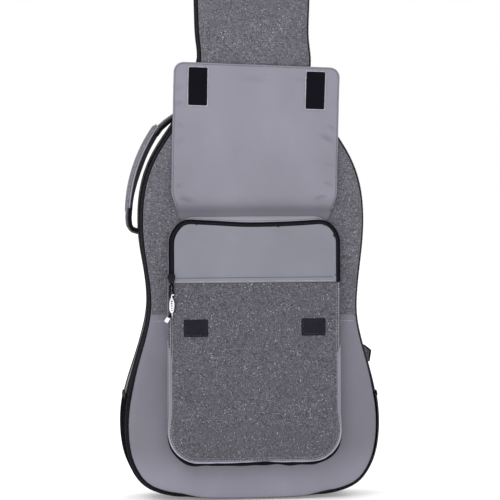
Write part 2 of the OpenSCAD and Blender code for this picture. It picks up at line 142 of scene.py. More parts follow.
class Nodes:
    """Short calls for a material's nodes. Positions are the piece's own, in millimetres."""

    def __init__(self, name):
        self.mat = bpy.data.materials.new(name)
        self.mat.use_nodes = True
        self.tree = self.mat.node_tree
        self.place = self.scaled(self.add("TexCoord", {}, "Object"), (1000, 1000, 1000))

    def add(self, kind, inputs, output=0, **settings):
        """A new node's output. An input is a value or another node's output."""
        n = self.tree.nodes.new("ShaderNode" + kind)
        for key, value in settings.items():
            setattr(n, key, value)
        for socket, value in inputs.items():
            self.link(value, n.inputs[socket])
        return n.outputs[output]

    def link(self, value, socket):
        if isinstance(value, bpy.types.NodeSocket):
            self.tree.links.new(value, socket)
        elif socket.type == "RGBA":
            socket.default_value = (*value, 1)
        else:
            socket.default_value = value

    def scaled(self, source, scale, turn=(0, 0, 0)):
        return self.add("Mapping", {"Scale": scale, "Rotation": turn, "Vector": source}, "Vector")

    def noise(self, size, stretch=(1, 1, 1), detail=2.0, turn=(0, 0, 0)):
        """Noise from 0 to 1 with grains about size millimetres across."""
        place = self.scaled(self.place, tuple(1 / (size * s) for s in stretch), turn)
        inputs = {"Scale": 1.0, "Detail": detail, "Roughness": 0.5, "Vector": place}
        return self.add("TexNoise", inputs, "Fac")

    def waves(self, size, axis, distortion=0.0):
        """Even ridges from 0 to 1 along an axis, size millimetres apart."""
        place = self.scaled(self.place, (2 * math.pi / 20 / size,) * 3)
        inputs = {"Scale": 1.0, "Distortion": distortion, "Detail": 1.0, "Vector": place}
        return self.add("TexWave", inputs, "Fac", bands_direction=axis)

    def math(self, kind, a, b):
        return self.add("Math", {0: a, 1: b}, operation=kind)

    def between(self, value, low, high):
        """0 below low, 1 above high."""
        return self.add("MapRange", {"From Min": low, "From Max": high, "Value": value}, "Result")

    def mix(self, amount, a, b):
        return self.add("Mix", {"Factor": amount, "A": a, "B": b}, "Result", data_type="RGBA")

    def painted_shade_by_height(self, colour, z0, z1, t0, t1):
        """The colour times a painted light-and-shade factor that changes from t0 at the height z0 to t1 at z1.
        """
        height = self.add("SeparateXYZ", {0: self.place}, "Z")
        span = {"From Min": z0 + BASE * 1000, "From Max": z1 + BASE * 1000, "To Min": t0, "To Max": t1}
        tone = self.add("MapRange", {**span, "Value": height}, "Result", interpolation_type="SMOOTHSTEP")
        return self.add("VectorMath", {0: colour, "Scale": tone}, "Vector", operation="SCALE")

    def bump(self, height, depth, below=None):
        """Bump of depth millimetres, over another bump."""
        inputs = {"Distance": depth * MM, "Strength": 1.0, "Height": height}
        return self.add("Bump", inputs if below is None else {**inputs, "Normal": below}, "Normal")

    def finish(self, colour, normal, roughness, specular, sheen=0.0, sheen_roughness=0.5):
        inputs = self.tree.nodes["Principled BSDF"].inputs
        for value, socket in ((colour, "Base Color"), (normal, "Normal"), (roughness, "Roughness"),
                              (specular, "Specular IOR Level"), (sheen, "Sheen Weight"),
                              (sheen_roughness, "Sheen Roughness")):
            self.link(value, inputs[socket])
        return self.mat


def heather(name, mid=(86, 84, 91), contrast=1.0):
    """Two-tone melange cloth: crossed threads with light and dark flecks."""
    n = Nodes(name)
    warp = n.noise(0.75, (1, 1, 5.0), 1.5)
    weft = n.noise(0.75, (5.0, 5.0, 1), 1.5)
    threads = n.math("ADD", n.math("MULTIPLY", warp, 0.5), n.math("MULTIPLY", weft, 0.5))
    dark, pale = shade(mid, 1 - 0.34 * contrast), shade(mid, 1 + 0.27 * contrast)
    colour = n.mix(n.between(threads, 0.36, 0.66), dark, pale)
    light_warp = n.between(n.noise(1.05, (1, 1, 3.0), 1.0, turn=(0, 0.06, 0)), 0.695, 0.76)
    light_weft = n.between(n.noise(1.15, (2.6, 2.6, 1), 1.0), 0.695, 0.76)
    colour = n.mix(n.math("MAXIMUM", light_warp, light_weft), colour, shade((176, 175, 182)))
    black = n.between(n.noise(1.3, (1, 1, 2.4), 1.0, turn=(0.03, 0, 0.02)), 0.665, 0.74)
    colour = n.mix(n.math("MULTIPLY", black, 0.75), colour, shade((44, 43, 50)))
    blotch = n.between(n.noise(34, detail=1.5), 0.3, 0.75)
    colour = n.mix(n.math("MULTIPLY", blotch, 0.22), colour, shade(mid, 0.86))
    ribs = n.math("ADD", n.waves(0.9, "X"), n.waves(0.9, "Z"))
    weave = n.math("ADD", n.math("MULTIPLY", threads, 0.8), n.math("MULTIPLY", ribs, 0.1))
    normal = n.bump(weave, 0.35, n.bump(n.noise(26), 1.2))
    return n.finish(colour, normal, 0.93, 0.2, 0.12)


def smooth_cloth(name, mid, unevenness=0.05, painted_shades=()):
    """Close plain weave with a soft sheen, faint creases and a slight change of tone.
    Each of painted_shades is light and shade painted into the colour by height: (z0, z1, tone at z0, tone at
    z1), heights in bag millimetres."""
    n = Nodes(name)
    blotch = n.noise(70, (1, 1, 1.4))
    fine = n.noise(0.9, (1, 1, 2.2), 1.0)
    colour = n.mix(n.between(blotch, 0.3, 0.7), shade(mid, 1 - unevenness), shade(mid, 1 + unevenness))
    colour = n.mix(n.math("MULTIPLY", n.between(fine, 0.35, 0.75), 0.3), colour, shade(mid, 0.93))
    # painted light and shade: the colour is made darker or lighter by height
    for tone in painted_shades:
        colour = n.painted_shade_by_height(colour, *tone)
    weave = n.math("ADD", n.waves(0.7, "X"), n.waves(0.7, "Z"))
    normal = n.bump(n.noise(7), 0.12, n.bump(n.noise(38, (1, 1, 1.6), 1.5), 1.6))
    return n.finish(colour, n.bump(n.math("MULTIPLY", weave, 0.5), 0.05, normal), 0.62, 0.28, 0.15, 0.4)


def plush(name, mid, pile=0.8):
    """Short dark pile, for linings and hook-and-loop."""
    n = Nodes(name)
    nap = n.noise(pile, detail=3.0)
    colour = n.mix(n.between(nap, 0.35, 0.7), shade(mid, 0.6), shade(mid, 1.5))
    return n.finish(colour, n.bump(nap, pile * 0.6, n.bump(n.noise(30), 0.8)), 0.97, 0.05, 0.03, 0.55)


def webbing(name, mid):
    """Ribbed woven strap."""
    n = Nodes(name)
    ribs, cross = n.waves(1.7, "Z", 0.6), n.waves(1.1, "X", 0.4)
    colour = n.mix(n.math("MULTIPLY", ribs, cross), shade(mid, 0.62), shade(mid, 1.35))
    return n.finish(colour, n.bump(ribs, 0.35, n.bump(cross, 0.2)), 0.8, 0.05, 0.02)


def tape(name, mid):
    """Zip tape: a fine herringbone."""
    n = Nodes(name)
    weave = n.waves(0.8, "DIAGONAL", 0.8)
    return n.finish(n.mix(weave, shade(mid, 0.75), shade(mid, 1.3, 2)), n.bump(weave, 0.12), 0.85, 0.02)


def moulded(name, mid, rough=0.4, grain=0.02, specular=0.5):
    """Plastic, rubber or painted metal with worn, slightly uneven skin."""
    n = Nodes(name)
    worn = n.noise(5, detail=3.0)
    colour = n.mix(n.between(worn, 0.35, 0.75), shade(mid, 0.88), shade(mid, 1.12, 3))
    roughness = n.math("ADD", n.math("MULTIPLY", worn, 0.16), rough - 0.08)
    return n.finish(colour, n.bump(n.noise(0.6), grain), roughness, specular)


def sandwich_mesh(name, mid):
    """Open spacer mesh: rows of small dark holes."""
    n = Nodes(name)
    place = n.scaled(n.place, (1 / 2.6,) * 3)
    cells = n.add("TexVoronoi", {"Scale": 1.0, "Randomness": 0.25, "Vector": place}, "Distance")
    hole = n.between(cells, 0.18, 0.38)
    return n.finish(n.mix(hole, shade(mid, 0.35), shade(mid)), n.bump(hole, 0.5), 0.9, 0.2, 0.1)


# Painted shade on the flap's smooth face: a little darker towards its foot, where less light falls, and much
# darker in the fold just above its root.
FLAP_PAINTED_SHADE = ((440, 590, 0.87, 0.95), (412, 446, 0.66, 1.0))
HEATHER = heather("heather", contrast=1.15)
HEATHER_POCKET = heather("heather_pocket", (76, 74, 81), contrast=1.4)
HEATHER_LIGHT = heather("heather_handle", (92, 91, 99))
HEATHER_EDGE = heather("heather_hem", (96, 95, 102))
SMOOTH_FLAP = smooth_cloth("smooth_flap", (125, 124, 135), 0.03, FLAP_PAINTED_SHADE)
SMOOTH_MOUTH = smooth_cloth("smooth_mouth", (113, 114, 123), 0.03)
SMOOTH_EDGE = smooth_cloth("smooth_edge", (121, 119, 131), 0.05)
# Painted light on the smooth lower cover: lighter towards the base, standing in for light from the floor, and
# darker higher up.
SMOOTH_LOWER = smooth_cloth("smooth_lower", (116, 115, 126), 0.035, ((20, 85, 1.2, 0.83),))
SMOOTH_HEM = smooth_cloth("smooth_hem", (142, 140, 152), 0.03)
LINING = plush("lining", (25, 24, 29), 1.2)
LOOP = plush("loop_pile", (28, 27, 33), 0.9)
HOOK = plush("hook_pile", (12, 11, 17), 1.1)
GUARD = moulded("guard", (18, 17, 21), 0.8, grain=0.1, specular=0.0)
WEBBING = webbing("webbing", (22, 21, 26))
WEBBING_GREY = webbing("webbing_grey", (84, 83, 90))
TAPE = tape("zip_tape", (13, 12, 18))
TEETH = moulded("zip_teeth", (18, 17, 24), 0.42, specular=0.25)
PIPING = smooth_cloth("piping", (140, 138, 152), 0.04)
BLACK_BINDING = webbing("binding", (15, 14, 18))
THREAD = moulded("thread", (158, 156, 168), 0.7)
THREAD_DARK = moulded("thread_dark", (66, 65, 72), 0.7)
METAL = moulded("dark_metal", (13, 13, 17), 0.45, specular=0.12)
BUCKLE = moulded("buckle", (22, 22, 25), 0.42, grain=0.04)
CORD = webbing("pull_cord", (18, 17, 22))
RUBBER_PALE = moulded("pull_pale", (214, 213, 220), 0.5)
RUBBER_DARK = moulded("pull_dark", (24, 23, 28), 0.5)
MESH = sandwich_mesh("spacer_mesh", (38, 37, 43))


# ---------------------------------------------------------------- shape helpers


def smoothstep(t):
    t = np.clip(t, 0, 1)
    return t * t * (3 - 2 * t)


def hump(x, width):
    """1 at 0, falling smoothly away on both sides."""
    return np.exp(-((x / width) ** 2))


def rolled(e, radius):
    """0 at an edge, 1 further in than the radius, like a quarter circle."""
    return np.sqrt(1 - (1 - np.clip(e / radius, 0, 1)) ** 2)


def ripple(points, size, seed):
    """Smooth unevenness from about -1 to 1, with bumps about size apart."""
    rng = np.random.default_rng(seed)
    total = 0
    for _ in range(8):
        d = rng.normal(size=points.shape[-1])
        d *= 2 * math.pi / (np.linalg.norm(d) * size * rng.uniform(0.8, 1.7))
        total = total + np.sin(points @ d + rng.uniform(0, 6.28))
    return total / 3.4


def node_points(node):
    co = np.array([v.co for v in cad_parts[node].data.vertices], float) / MM
    co[:, 2] -= BASE / MM
    return co


def cad_loop(node, centre_z):
    """Outline (x, z) of a flat CAD plate: from its front face, round from its top by the left."""
    co = node_points(node)
    face = co[np.abs(co[:, 1] - co[:, 1].min()) < 0.02][:, [0, 2]]
    flat = np.unique(np.round(face, 2), axis=0)
    return flat[np.argsort(np.arctan2(flat[:, 0], centre_z - flat[:, 1]))]


def with_depth(p, y):
    """Points of an outline (x, z) stood up at the depth y."""
    return np.column_stack([p[:, 0], np.broadcast_to(y, len(p)), p[:, 1]])


def even(points, count=0, step=1.0):
    """A line's points moved to even distances, either so many or about a step apart."""
    s = np.concatenate([[0], np.cumsum(np.linalg.norm(np.diff(points, axis=0), axis=1))])
    t = np.linspace(0, s[-1], count or max(2, int(round(s[-1] / step))) + 1)
    return np.column_stack([np.interp(t, s, points[:, k]) for k in range(points.shape[1])])


def resample(points, step, closed=False):
    p = np.asarray(points, float)
    return even(np.vstack([p, p[:1]]), step=step)[:-1] if closed else even(p, step=step)


def stretch(keep):
    """Places in a closed loop where keep is true, in order from where that stretch begins."""
    first = int(np.flatnonzero(keep & ~np.roll(keep, 1))[0])
    turn = np.roll(np.arange(len(keep)), -first)
    return turn[keep[turn]]


def curved(points, step):
    """A closed loop drawn smoothly through its points, at an even step."""
    p = np.asarray(points, float)
    a, b = np.roll(p, 1, 0), np.roll(p, -1, 0)
    before, after = (np.linalg.norm(p - a, axis=1)[:, None], np.linalg.norm(b - p, axis=1)[:, None])
    slope = ((p - a) / before * after + (b - p) / after * before) / (before + after)
    u = np.linspace(0, 1, 16, endpoint=False)[None, :, None]
    h = after[:, None]
    p0, p1, m0, m1 = p[:, None], b[:, None], slope[:, None] * h, np.roll(slope, -1, 0)[:, None] * h
    dense = ((2 * u**3 - 3 * u**2 + 1) * p0 + (u**3 - 2 * u**2 + u) * m0
             + (3 * u**2 - 2 * u**3) * p1 + (u**3 - u**2) * m1).reshape(-1, p.shape[1])
    return resample(dense, step, closed=True)


def curved_open(points, step):
    """An open line drawn smoothly through its points."""
    p = np.asarray(points, float)
    p = np.vstack([2 * p[0] - p[1], p, 2 * p[-1] - p[-2]])
    u = np.linspace(0, 1, 10, endpoint=False)[:, None]
    out = []
    for a, b, c, d in zip(p, p[1:], p[2:], p[3:]):
        bent, turned = 2 * a - 5 * b + 4 * c - d, 3 * b - a - 3 * c + d
        out.append(0.5 * (2 * b + (c - a) * u + bent * u**2 + turned * u**3))
    return resample(np.vstack([*out, p[-2][None]]), step)


def relaxed(loop, times):
    for _ in range(times):
        loop = loop * 0.5 + (np.roll(loop, 1, 0) + np.roll(loop, -1, 0)) * 0.25
    return loop


def outward(loop):
    t = np.roll(loop, -1, 0) - np.roll(loop, 1, 0)
    n = np.column_stack([t[:, 1], -t[:, 0]])
    return n / np.linalg.norm(n, axis=1)[:, None]


def edge_distance(points, loop):
    """Distance from points to a closed outline."""
    a, d = loop, np.roll(loop, -1, 0) - loop
    out = np.empty(len(points))
    for i in range(0, len(points), 2000):
        p = points[i : i + 2000, None]
        t = np.clip(((p - a) * d).sum(-1) / np.maximum((d * d).sum(-1), 1e-12), 0, 1)
        out[i : i + 2000] = np.sqrt((((a + t[..., None] * d) - p) ** 2).sum(-1).min(1))
    return out


def inside(points, loop):
    x, z = points[:, 0][:, None], points[:, 1][:, None]
    x0, z0 = loop[:, 0], loop[:, 1]
    x1, z1 = np.roll(x0, -1), np.roll(z0, -1)
    cross = (z0 > z) != (z1 > z)
    with np.errstate(divide="ignore", invalid="ignore"):
        at = x0 + (z - z0) * (x1 - x0) / (z1 - z0)
    return (cross & (x < at)).sum(1) % 2 == 1


def filled(loop, grid, rings=(), rows=()):
    """Points and triangles that fill an outline: rings that follow its edge, then a grid.
    rows are heights at which the grid gets a row of its own. The outline's points come first."""
    n = outward(loop)
    parts = [loop]
    for e in rings:
        ring = loop - n * e
        parts.append(ring[(edge_distance(ring, loop) > e * 0.96) & inside(ring, loop)][:: 1 + int(e > 12)])
    lo, hi = loop.min(0), loop.max(0)
    zs = np.arange(lo[1], hi[1], grid)
    for r in rows:
        zs = np.append(zs[np.abs(zs - r) > grid * 0.35], r)
    gx, gz = np.meshgrid(np.arange(lo[0], hi[0], grid) + 0.137, np.sort(zs))
    g = np.column_stack([gx.ravel(), gz.ravel()])
    g = g[inside(g, loop)]
    last = max(rings, default=0)
    parts.append(g[edge_distance(g, loop) > last + grid * 0.45])
    pts = np.vstack(parts)
    v, _, f, *_ = geometry.delaunay_2d_cdt([Vector(p) for p in pts], [], [list(range(len(loop)))], 1, 1e-5)
    return np.array([tuple(p) for p in v]), [tuple(q) for q in f]


def sheet(loop, grid, rings, depth, rows=(), place=None):
    """An outline filled with cloth. depth gives the y of its points."""
    v, f = filled(loop, grid, rings, rows)
    v = with_depth(v, depth(v))
    return (place(v) if place else v), f


def between(a, b, bulge, rows):
    """A wall from one line of points to another, which stands out by bulge half way."""
    shares = np.linspace(0, 1, rows)
    return np.stack([a * (1 - u) + b * u + bulge * math.sin(math.pi * u) for u in shares], 1)


def cut_at(loop, z, above):
    """The part of a closed loop above or below a height."""
    out = []
    for a, b in zip(loop, np.roll(loop, -1, 0)):
        if (a[1] > z) == above:
            out.append(a)
        if (a[1] > z) != (b[1] > z):
            out.append(a + (b - a) * (z - a[1]) / (b[1] - a[1]))
    out = np.array(out)
    long = np.linalg.norm(np.roll(out, -1, 0) - out, axis=1)
    i = int(long.argmax())
    extra = np.linspace(out[i], out[(i + 1) % len(out)], max(2, int(long[i] / 5)))[1:-1]
    return np.vstack([out[: i + 1], extra, out[i + 1 :]])


def rounded_box(x, z0, z1, r_low, r_top, step, mid=0.0):
    """Closed outline with rounded corners and half width x, anticlockwise from the lower left."""
    out = []
    for cx, cz, r, a0 in ((-x + r_low, z0 + r_low, r_low, 180), (x - r_low, z0 + r_low, r_low, 270),
                          (x - r_top, z1 - r_top, r_top, 0), (-x + r_top, z1 - r_top, r_top, 90)):
        out += [(cx + r * math.cos(a), cz + r * math.sin(a)) for a in np.radians(a0 + 90 * np.arange(17) / 16)]
    return resample(out, step, closed=True) + np.array([mid, 0])


def grid_faces(n, m, wrap_n=False, wrap_m=False):
    i = np.arange(n if wrap_n else n - 1)[:, None]
    j = np.arange(m if wrap_m else m - 1)[None]
    i1, j1 = (i + 1) % n, (j + 1) % m
    f = np.stack([i * m + j, i1 * m + j, i1 * m + j1, i * m + j1], -1)
    return f.reshape(-1, 4)


def drop_unused(verts, faces):
    faces = np.asarray(faces)
    used, back = np.unique(faces, return_inverse=True)
    return verts[used], back.reshape(faces.shape)


def joined(*meshes):
    verts, faces, n = [], [], 0
    for v, f in meshes:
        verts.append(np.asarray(v, float))
        faces += [tuple(int(i) + n for i in q) for q in f]
        n += len(v)
    return np.vstack(verts), faces


def sweep(path, section, face=(0, -1, 0), closed=False, scale=None):
    """A section (across, out) carried along a path. face is the way that out points."""
    p, sec = np.asarray(path, float), np.asarray(section, float)
    t = np.roll(p, -1, 0) - np.roll(p, 1, 0) if closed else np.gradient(p, axis=0)
    t /= np.linalg.norm(t, axis=1)[:, None]
    face = np.broadcast_to(np.asarray(face, float), p.shape)
    side = np.cross(t, face)
    side /= np.linalg.norm(side, axis=1)[:, None]
    out = np.cross(side, t)
    k = np.ones((len(p), 2)) if scale is None else np.asarray(scale, float)
    v = (p[:, None] + sec[None, :, 0, None] * k[:, None, 0, None] * side[:, None]
         + sec[None, :, 1, None] * k[:, None, 1, None] * out[:, None])
    m = len(sec)
    f = [tuple(q) for q in grid_faces(len(p), m, wrap_n=closed, wrap_m=True)]
    if not closed:
        f += [tuple(range(m - 1, -1, -1)), tuple((len(p) - 1) * m + i for i in range(m))]
    return v.reshape(-1, 3), f


def round_section(r, sides=8, flat=1.0):
    a = np.arange(sides) * 2 * math.pi / sides
    return np.column_stack([r * np.cos(a), r * flat * np.sin(a)])


def box_section(w, h, r):
    """Rounded rectangle, w across and h out."""
    pts = []
    for cx, cy, a0 in ((1, 1, 0), (-1, 1, 90), (-1, -1, 180), (1, -1, 270)):
        for i in range(4):
            a = math.radians(a0 + 90 * i / 3)
            pts.append((cx * (w / 2 - r) + r * math.cos(a), cy * (h / 2 - r) + r * math.sin(a)))
    return np.array(pts)


def bead(length, width, height):
    """Unit of a row: a rounded capsule along its first axis."""
    verts, faces, sides = [], [], 6
    spans = ((-0.5, 0.35), (-0.32, 0.9), (0.0, 1.0), (0.32, 0.9), (0.5, 0.35))
    for u, k in spans:
        for i in range(sides):
            a = 2 * math.pi * i / sides
            verts.append((u * length, math.cos(a) * k * width / 2, math.sin(a) * k * height / 2))
    faces = [tuple(q) for q in grid_faces(len(spans), sides, wrap_m=True)]
    faces += [tuple(range(sides - 1, -1, -1)), tuple((len(spans) - 1) * sides + i for i in range(sides))]
    return np.array(verts), faces


def row_of(unit, path, face=(0, -1, 0), pitch=4.0, closed=False, across=False):
    """Copies of a unit along a path, lengthwise or across it."""
    v, f = unit
    path = np.asarray(path, float)
    both = np.hstack([path, np.broadcast_to(np.asarray(face, float), path.shape)])
    both = resample(both, pitch, closed)
    p, face = both[:, :3], both[:, 3:]
    t = np.roll(p, -1, 0) - np.roll(p, 1, 0) if closed else np.gradient(p, axis=0)
    t /= np.maximum(np.linalg.norm(t, axis=1), 1e-9)[:, None]
    side = np.cross(t, face)
    side /= np.linalg.norm(side, axis=1)[:, None]
    out = np.cross(side, t)
    a, b = (side, t) if across else (t, side)
    w = (p[:, None] + v[None, :, 0, None] * a[:, None] + v[None, :, 1, None] * b[:, None]
         + v[None, :, 2, None] * out[:, None])
    faces = np.array([list(q) + [q[-1]] * (6 - len(q)) for q in f])
    all_faces = (faces[None] + (np.arange(len(p)) * len(v))[:, None, None]).reshape(-1, 6)
    sizes = [len(q) for q in f] * len(p)
    return w.reshape(-1, 3), [tuple(q[:k]) for q, k in zip(all_faces.tolist(), sizes)]


STITCH = bead(3.0, 0.75, 0.5)


def stitches(path, face=(0, -1, 0), pitch=4.0, closed=False, unit=STITCH):
    return row_of(unit, path, face, pitch, closed)


def piece(name, mesh, material, slot, body=None, replaces=()):
    """A mesh in bag millimetres made into a Blender piece."""
    verts, faces = mesh
    v = np.asarray(verts, float) * MM
    v[:, 2] += BASE
    me = bpy.data.meshes.new(name)
    me.from_pydata(v.tolist(), [], [tuple(int(i) for i in q) for q in faces])
    me.validate()
    me.polygons.foreach_set("use_smooth", [True] * len(me.polygons))
    me.materials.append(material)
    ob = bpy.data.objects.new(name, me)
    bpy.context.scene.collection.objects.link(ob)
    if body:
        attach(ob, body)
    if replaces:
        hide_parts(*replaces)
    return ob


def pin_fabric(ob, start, end):
    """Bakes the piece's placement into its mesh; the ends, given in bag millimetres, are turned into metres
    but not used.
    """
    lift = Vector((0, 0, BASE))
    Vector(start) * MM + lift
    Vector(end) * MM + lift
    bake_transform(ob)


def repaint(node, material, bevel=0.25):
    """A CAD node that stays: its material, and softly worn edges."""
    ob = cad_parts[node]
    ob.data.materials.clear()
    ob.data.materials.append(material)
    if bevel:
        m = ob.modifiers.new("edge", "BEVEL")
        m.width, m.segments, m.limit_method = bevel * MM, 2, "ANGLE"
        m.angle_limit = math.radians(35)
    return ob


def inflate(ob, voxel, cap, low, high):
    """The filling swells a closed pad: a short cloth simulation whose result becomes the mesh.
    No point moves further than cap, or out of the box from low to high (bag millimetres)."""
    scene = bpy.context.scene
    work = bpy.data.objects.new("work", ob.data.copy())
    scene.collection.objects.link(work)
    remesh = work.modifiers.new("remesh", "REMESH")
    remesh.mode, remesh.voxel_size = "VOXEL", voxel * MM
    graph = bpy.context.evaluated_depsgraph_get()
    work.data = bpy.data.meshes.new_from_object(work.evaluated_get(graph))
    work.modifiers.clear()
    count = len(work.data.vertices)
    start = np.empty(count * 3)
    work.data.vertices.foreach_get("co", start)
    cloth = work.modifiers.new("cloth", "CLOTH")
    cloth.settings.use_pressure = True
    cloth.settings.uniform_pressure_force = 4.0
    cloth.settings.effector_weights.gravity = 0.0
    for frame_number in range(1, 21):
        scene.frame_set(frame_number)
    graph = bpy.context.evaluated_depsgraph_get()
    moved = np.empty(count * 3)
    work.evaluated_get(graph).data.vertices.foreach_get("co", moved)
    work.modifiers.clear()
    start, moved = start.reshape(-1, 3), moved.reshape(-1, 3)
    step = moved - start
    length = np.linalg.norm(step, axis=1)[:, None]
    co = start + step * np.minimum(1, cap * MM / np.maximum(length, 1e-9))
    lift = np.array([0, 0, BASE])
    co = np.clip(co, np.array(low) * MM + lift, np.array(high) * MM + lift)
    work.data.vertices.foreach_set("co", co.ravel())
    smooth = work.modifiers.new("smooth", "SUBSURF")
    smooth.levels = smooth.render_levels = 1
    graph = bpy.context.evaluated_depsgraph_get()
    mesh = bpy.data.meshes.new_from_object(work.evaluated_get(graph))
    mesh.polygons.foreach_set("use_smooth", [True] * len(mesh.polygons))
    mesh.materials.clear()
    mesh.materials.append(ob.data.materials[0])
    ob.data = mesh
    bpy.data.objects.remove(work)
    scene.frame_set(1)
    return ob


# ---------------------------------------------------------------- bag outline


class Outline:
    """The bag's outline seen from the front, drawn in by an inset that may vary round it."""

    def __init__(self):
        lid_inset = (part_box("gusset_outer")[1].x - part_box("lid_foam")[1].x) / MM
        loop = relaxed(curved(cad_loop("lid_foam", 300), 4.5), 2)
        self.n = outward(loop)
        self.p = loop + self.n * lid_inset
        x, z = self.p[:, 0], self.p[:, 1]
        corners = np.exp(-(((z - 20) / 15) ** 2)) * smoothstep((np.abs(x) - 90) / 35)
        right = np.exp(-(((z - 300) / 45) ** 2)) * (x > 0)
        self.p = self.p + self.n * (1.9 * corners + 2.6 * right)[:, None]
        self.p[:, 1] = np.maximum(self.p[:, 1], 0.0)
        self.p[:, 0] += 3.4 * np.exp(-(((z - 637) / 24) ** 2))
        self.x, self.z = self.p[:, 0], self.p[:, 1]

    def at(self, inset):
        return self.p - self.n * np.reshape(inset, (-1, 1))


OUT = Outline()
FRONT = node_points("lid_foam")[:, 1].min() - 1.5
BACK = node_points("back_foam")[:, 1].max() + 1.5
SEAM_Z = node_points("lid_outer_lower")[:, 2].max()
GUARD_TOP = node_points("base_guard")[:, 2].max()
HINGE = (OUT.x > 100) & (OUT.z > 60) & (OUT.z < 150)
# 1 in the middle of the base, where the panel reaches down to the lower edge, and 0 elsewhere.
IN_BASE = smoothstep((112 - np.abs(OUT.x)) / 44) * smoothstep((60 - OUT.z) / 20)
# How far the back of the side wall lies inside the outline.
BACK_INSET = (0.5 + 3.5 * smoothstep((OUT.z - 120) / 100) - smoothstep((OUT.z - 330) / 60)
              + 5 * smoothstep((OUT.z - 600) / 60))
UNEVEN = ripple(OUT.p, 70, 11)


def cover_inset(u):
    """Inset of the side wall's cover at the share u of the way from its front to its back."""
    return 0.15 + BACK_INSET * u**1.25 - (0.9 + 0.35 * UNEVEN) * np.sin(math.pi * u)


def ring(profile, keep=None):
    """A surface that runs round the bag. The profile is a list of (inset, y)."""
    v = np.stack([with_depth(OUT.at(inset), y) for inset, y in profile], 1)
    f = grid_faces(len(OUT.p), len(profile), wrap_n=True)
    if keep is not None:
        f = f.reshape(len(OUT.p), -1, 4)[keep & np.roll(keep, -1)].reshape(-1, 4)
    return drop_unused(v.reshape(-1, 3), f)


def ring_path(inset, y, keep=None, forward=0.0):
    """A line round the bag, or a stretch of it, and its face, which leans forward from straight out."""
    path, face = with_depth(OUT.at(inset), y), with_depth(OUT.n, -forward)
    face /= np.linalg.norm(face, axis=1)[:, None]
    turn = np.arange(len(path)) if keep is None else stretch(keep)
    return path[turn], face[turn]


# ---------------------------------------------------------------- side wall, guard and main zip

COVER_FRONT, COVER_DEEP, BAND_BACK = -30.6, 62.2, -12.0
SHARES = np.linspace(0, 1, 15)
cover = [(cover_inset(u), COVER_FRONT + COVER_DEEP * u) for u in SHARES]
cover = [(0.25, -31.35), *cover, (BACK_INSET + 1.0, 32.6)]
piece("gusset_cover", ring(cover), HEATHER, "heather", "bag", ("gusset_outer",))
lining = [(0.3, -31.4), (1.6, -31.72), (7, -31.8), (13, -31.72), (14.7, -31.2), (15.1, -29.5)]
lining += [(15.2 + 0.5 * math.sin(math.pi * u), -29 + 60.5 * u) for u in SHARES]
piece("gusset_liner", ring(lining), LINING, "lining", "bag", ("gusset_lining", "gusset_foam"))
sewn = ring_path(cover_inset(0.3) - 0.55, BAND_BACK - 1.6)
piece("gusset_front_stitches", stitches(*sewn, 4.2, True), THREAD_DARK, "zip_tape", "bag")

guard_keep = OUT.z < GUARD_TOP
guard_front = -30.4 + 21 * IN_BASE
guard = [(1.0, guard_front - 1.6), (-0.9, guard_front - 1.7), (-1.8, guard_front - 1.0)]
for u in SHARES:
    y = guard_front + (31.6 - guard_front) * u
    guard.append((-2.0 + BACK_INSET * ((y + 30.4) / 62) ** 1.25 * 0.86 - 0.12 * math.sin(math.pi * u), y))
guard.append((BACK_INSET + 0.4, 32.9))
v, f = ring(guard, guard_keep)
v[:, 2] = np.maximum(v[:, 2], -1.45)
piece("base_guard_cover", (v, f), GUARD, "guard", "bag", ("base_guard",))
for side, name in SIDES:
    near = guard_keep & (OUT.z > GUARD_TOP - 12) & (np.sign(OUT.x) == side)
    i = int(np.flatnonzero(near)[np.argmax(OUT.z[near])])
    face = with_depth(OUT.n, 0)[i]
    lip = np.array([with_depth(OUT.at(inset), y)[i] for inset, y in guard]) + face * 0.35
    piece(f"guard_binding_{name}", sweep(lip, box_section(7, 1.5, 0.6), face), BLACK_BINDING, "guard", "bag")

band = [(1.3, -39.5), (0.8, -38.9), (0.35, -36.5), (0.05, -33.5)]
band += [(cover_inset((y - COVER_FRONT) / COVER_DEEP) - 0.4, y) for y in (-30.5, -26, -21, -16, BAND_BACK)]
band.append((cover_inset(0.3) + 0.3, BAND_BACK + 0.4))
piece("gusset_zip_band", ring(band, ~HINGE), TAPE, "zip_tape", "bag", ("gusset_zip_tape",))
hinge = ring([(1.0, -41.4), (0.5, -39.5), (0.2, -36.5), (0.1, -33.5), (0.2, -31.1)], HINGE)
piece("hinge_band", hinge, HEATHER, "heather", "bag", ("hinge_strip",))
# How far the panel's edge reaches out past its usual inset.
DROP = 4.2 * IN_BASE + 1.6 * smoothstep((OUT.z - 150) / 60)
band = ring([(a - b * DROP, y) for a, b, y in ((5.6, 1, -43.9), (5.0, 1, -42.6), (4.2, 0.9, -41.3),
                                               (3.4, 0.6, -40.6), (2.8, 0.5, -40.4))], ~HINGE)
piece("lid_zip_band", band, TAPE, "zip_tape", "lid", ("lid_zip_tape",))
COIL = bead(2.6, 1.25, 1.7)
for name, body, path in (("gusset", "bag", ring_path(1.35 - 0.1 * DROP, -40.1, ~HINGE, 1.0)),
                         ("lid", "lid", ring_path(3.1 - 0.4 * DROP, -40.9, ~HINGE, 1.6))):
    piece(f"{name}_zip_coil", row_of(COIL, *path, 1.9, across=True), TEETH, "zip_teeth", body,
          (f"{name}_zip_teeth",))


# ---------------------------------------------------------------- front panel (lid)

FACE = OUT.at(5.7 - DROP)


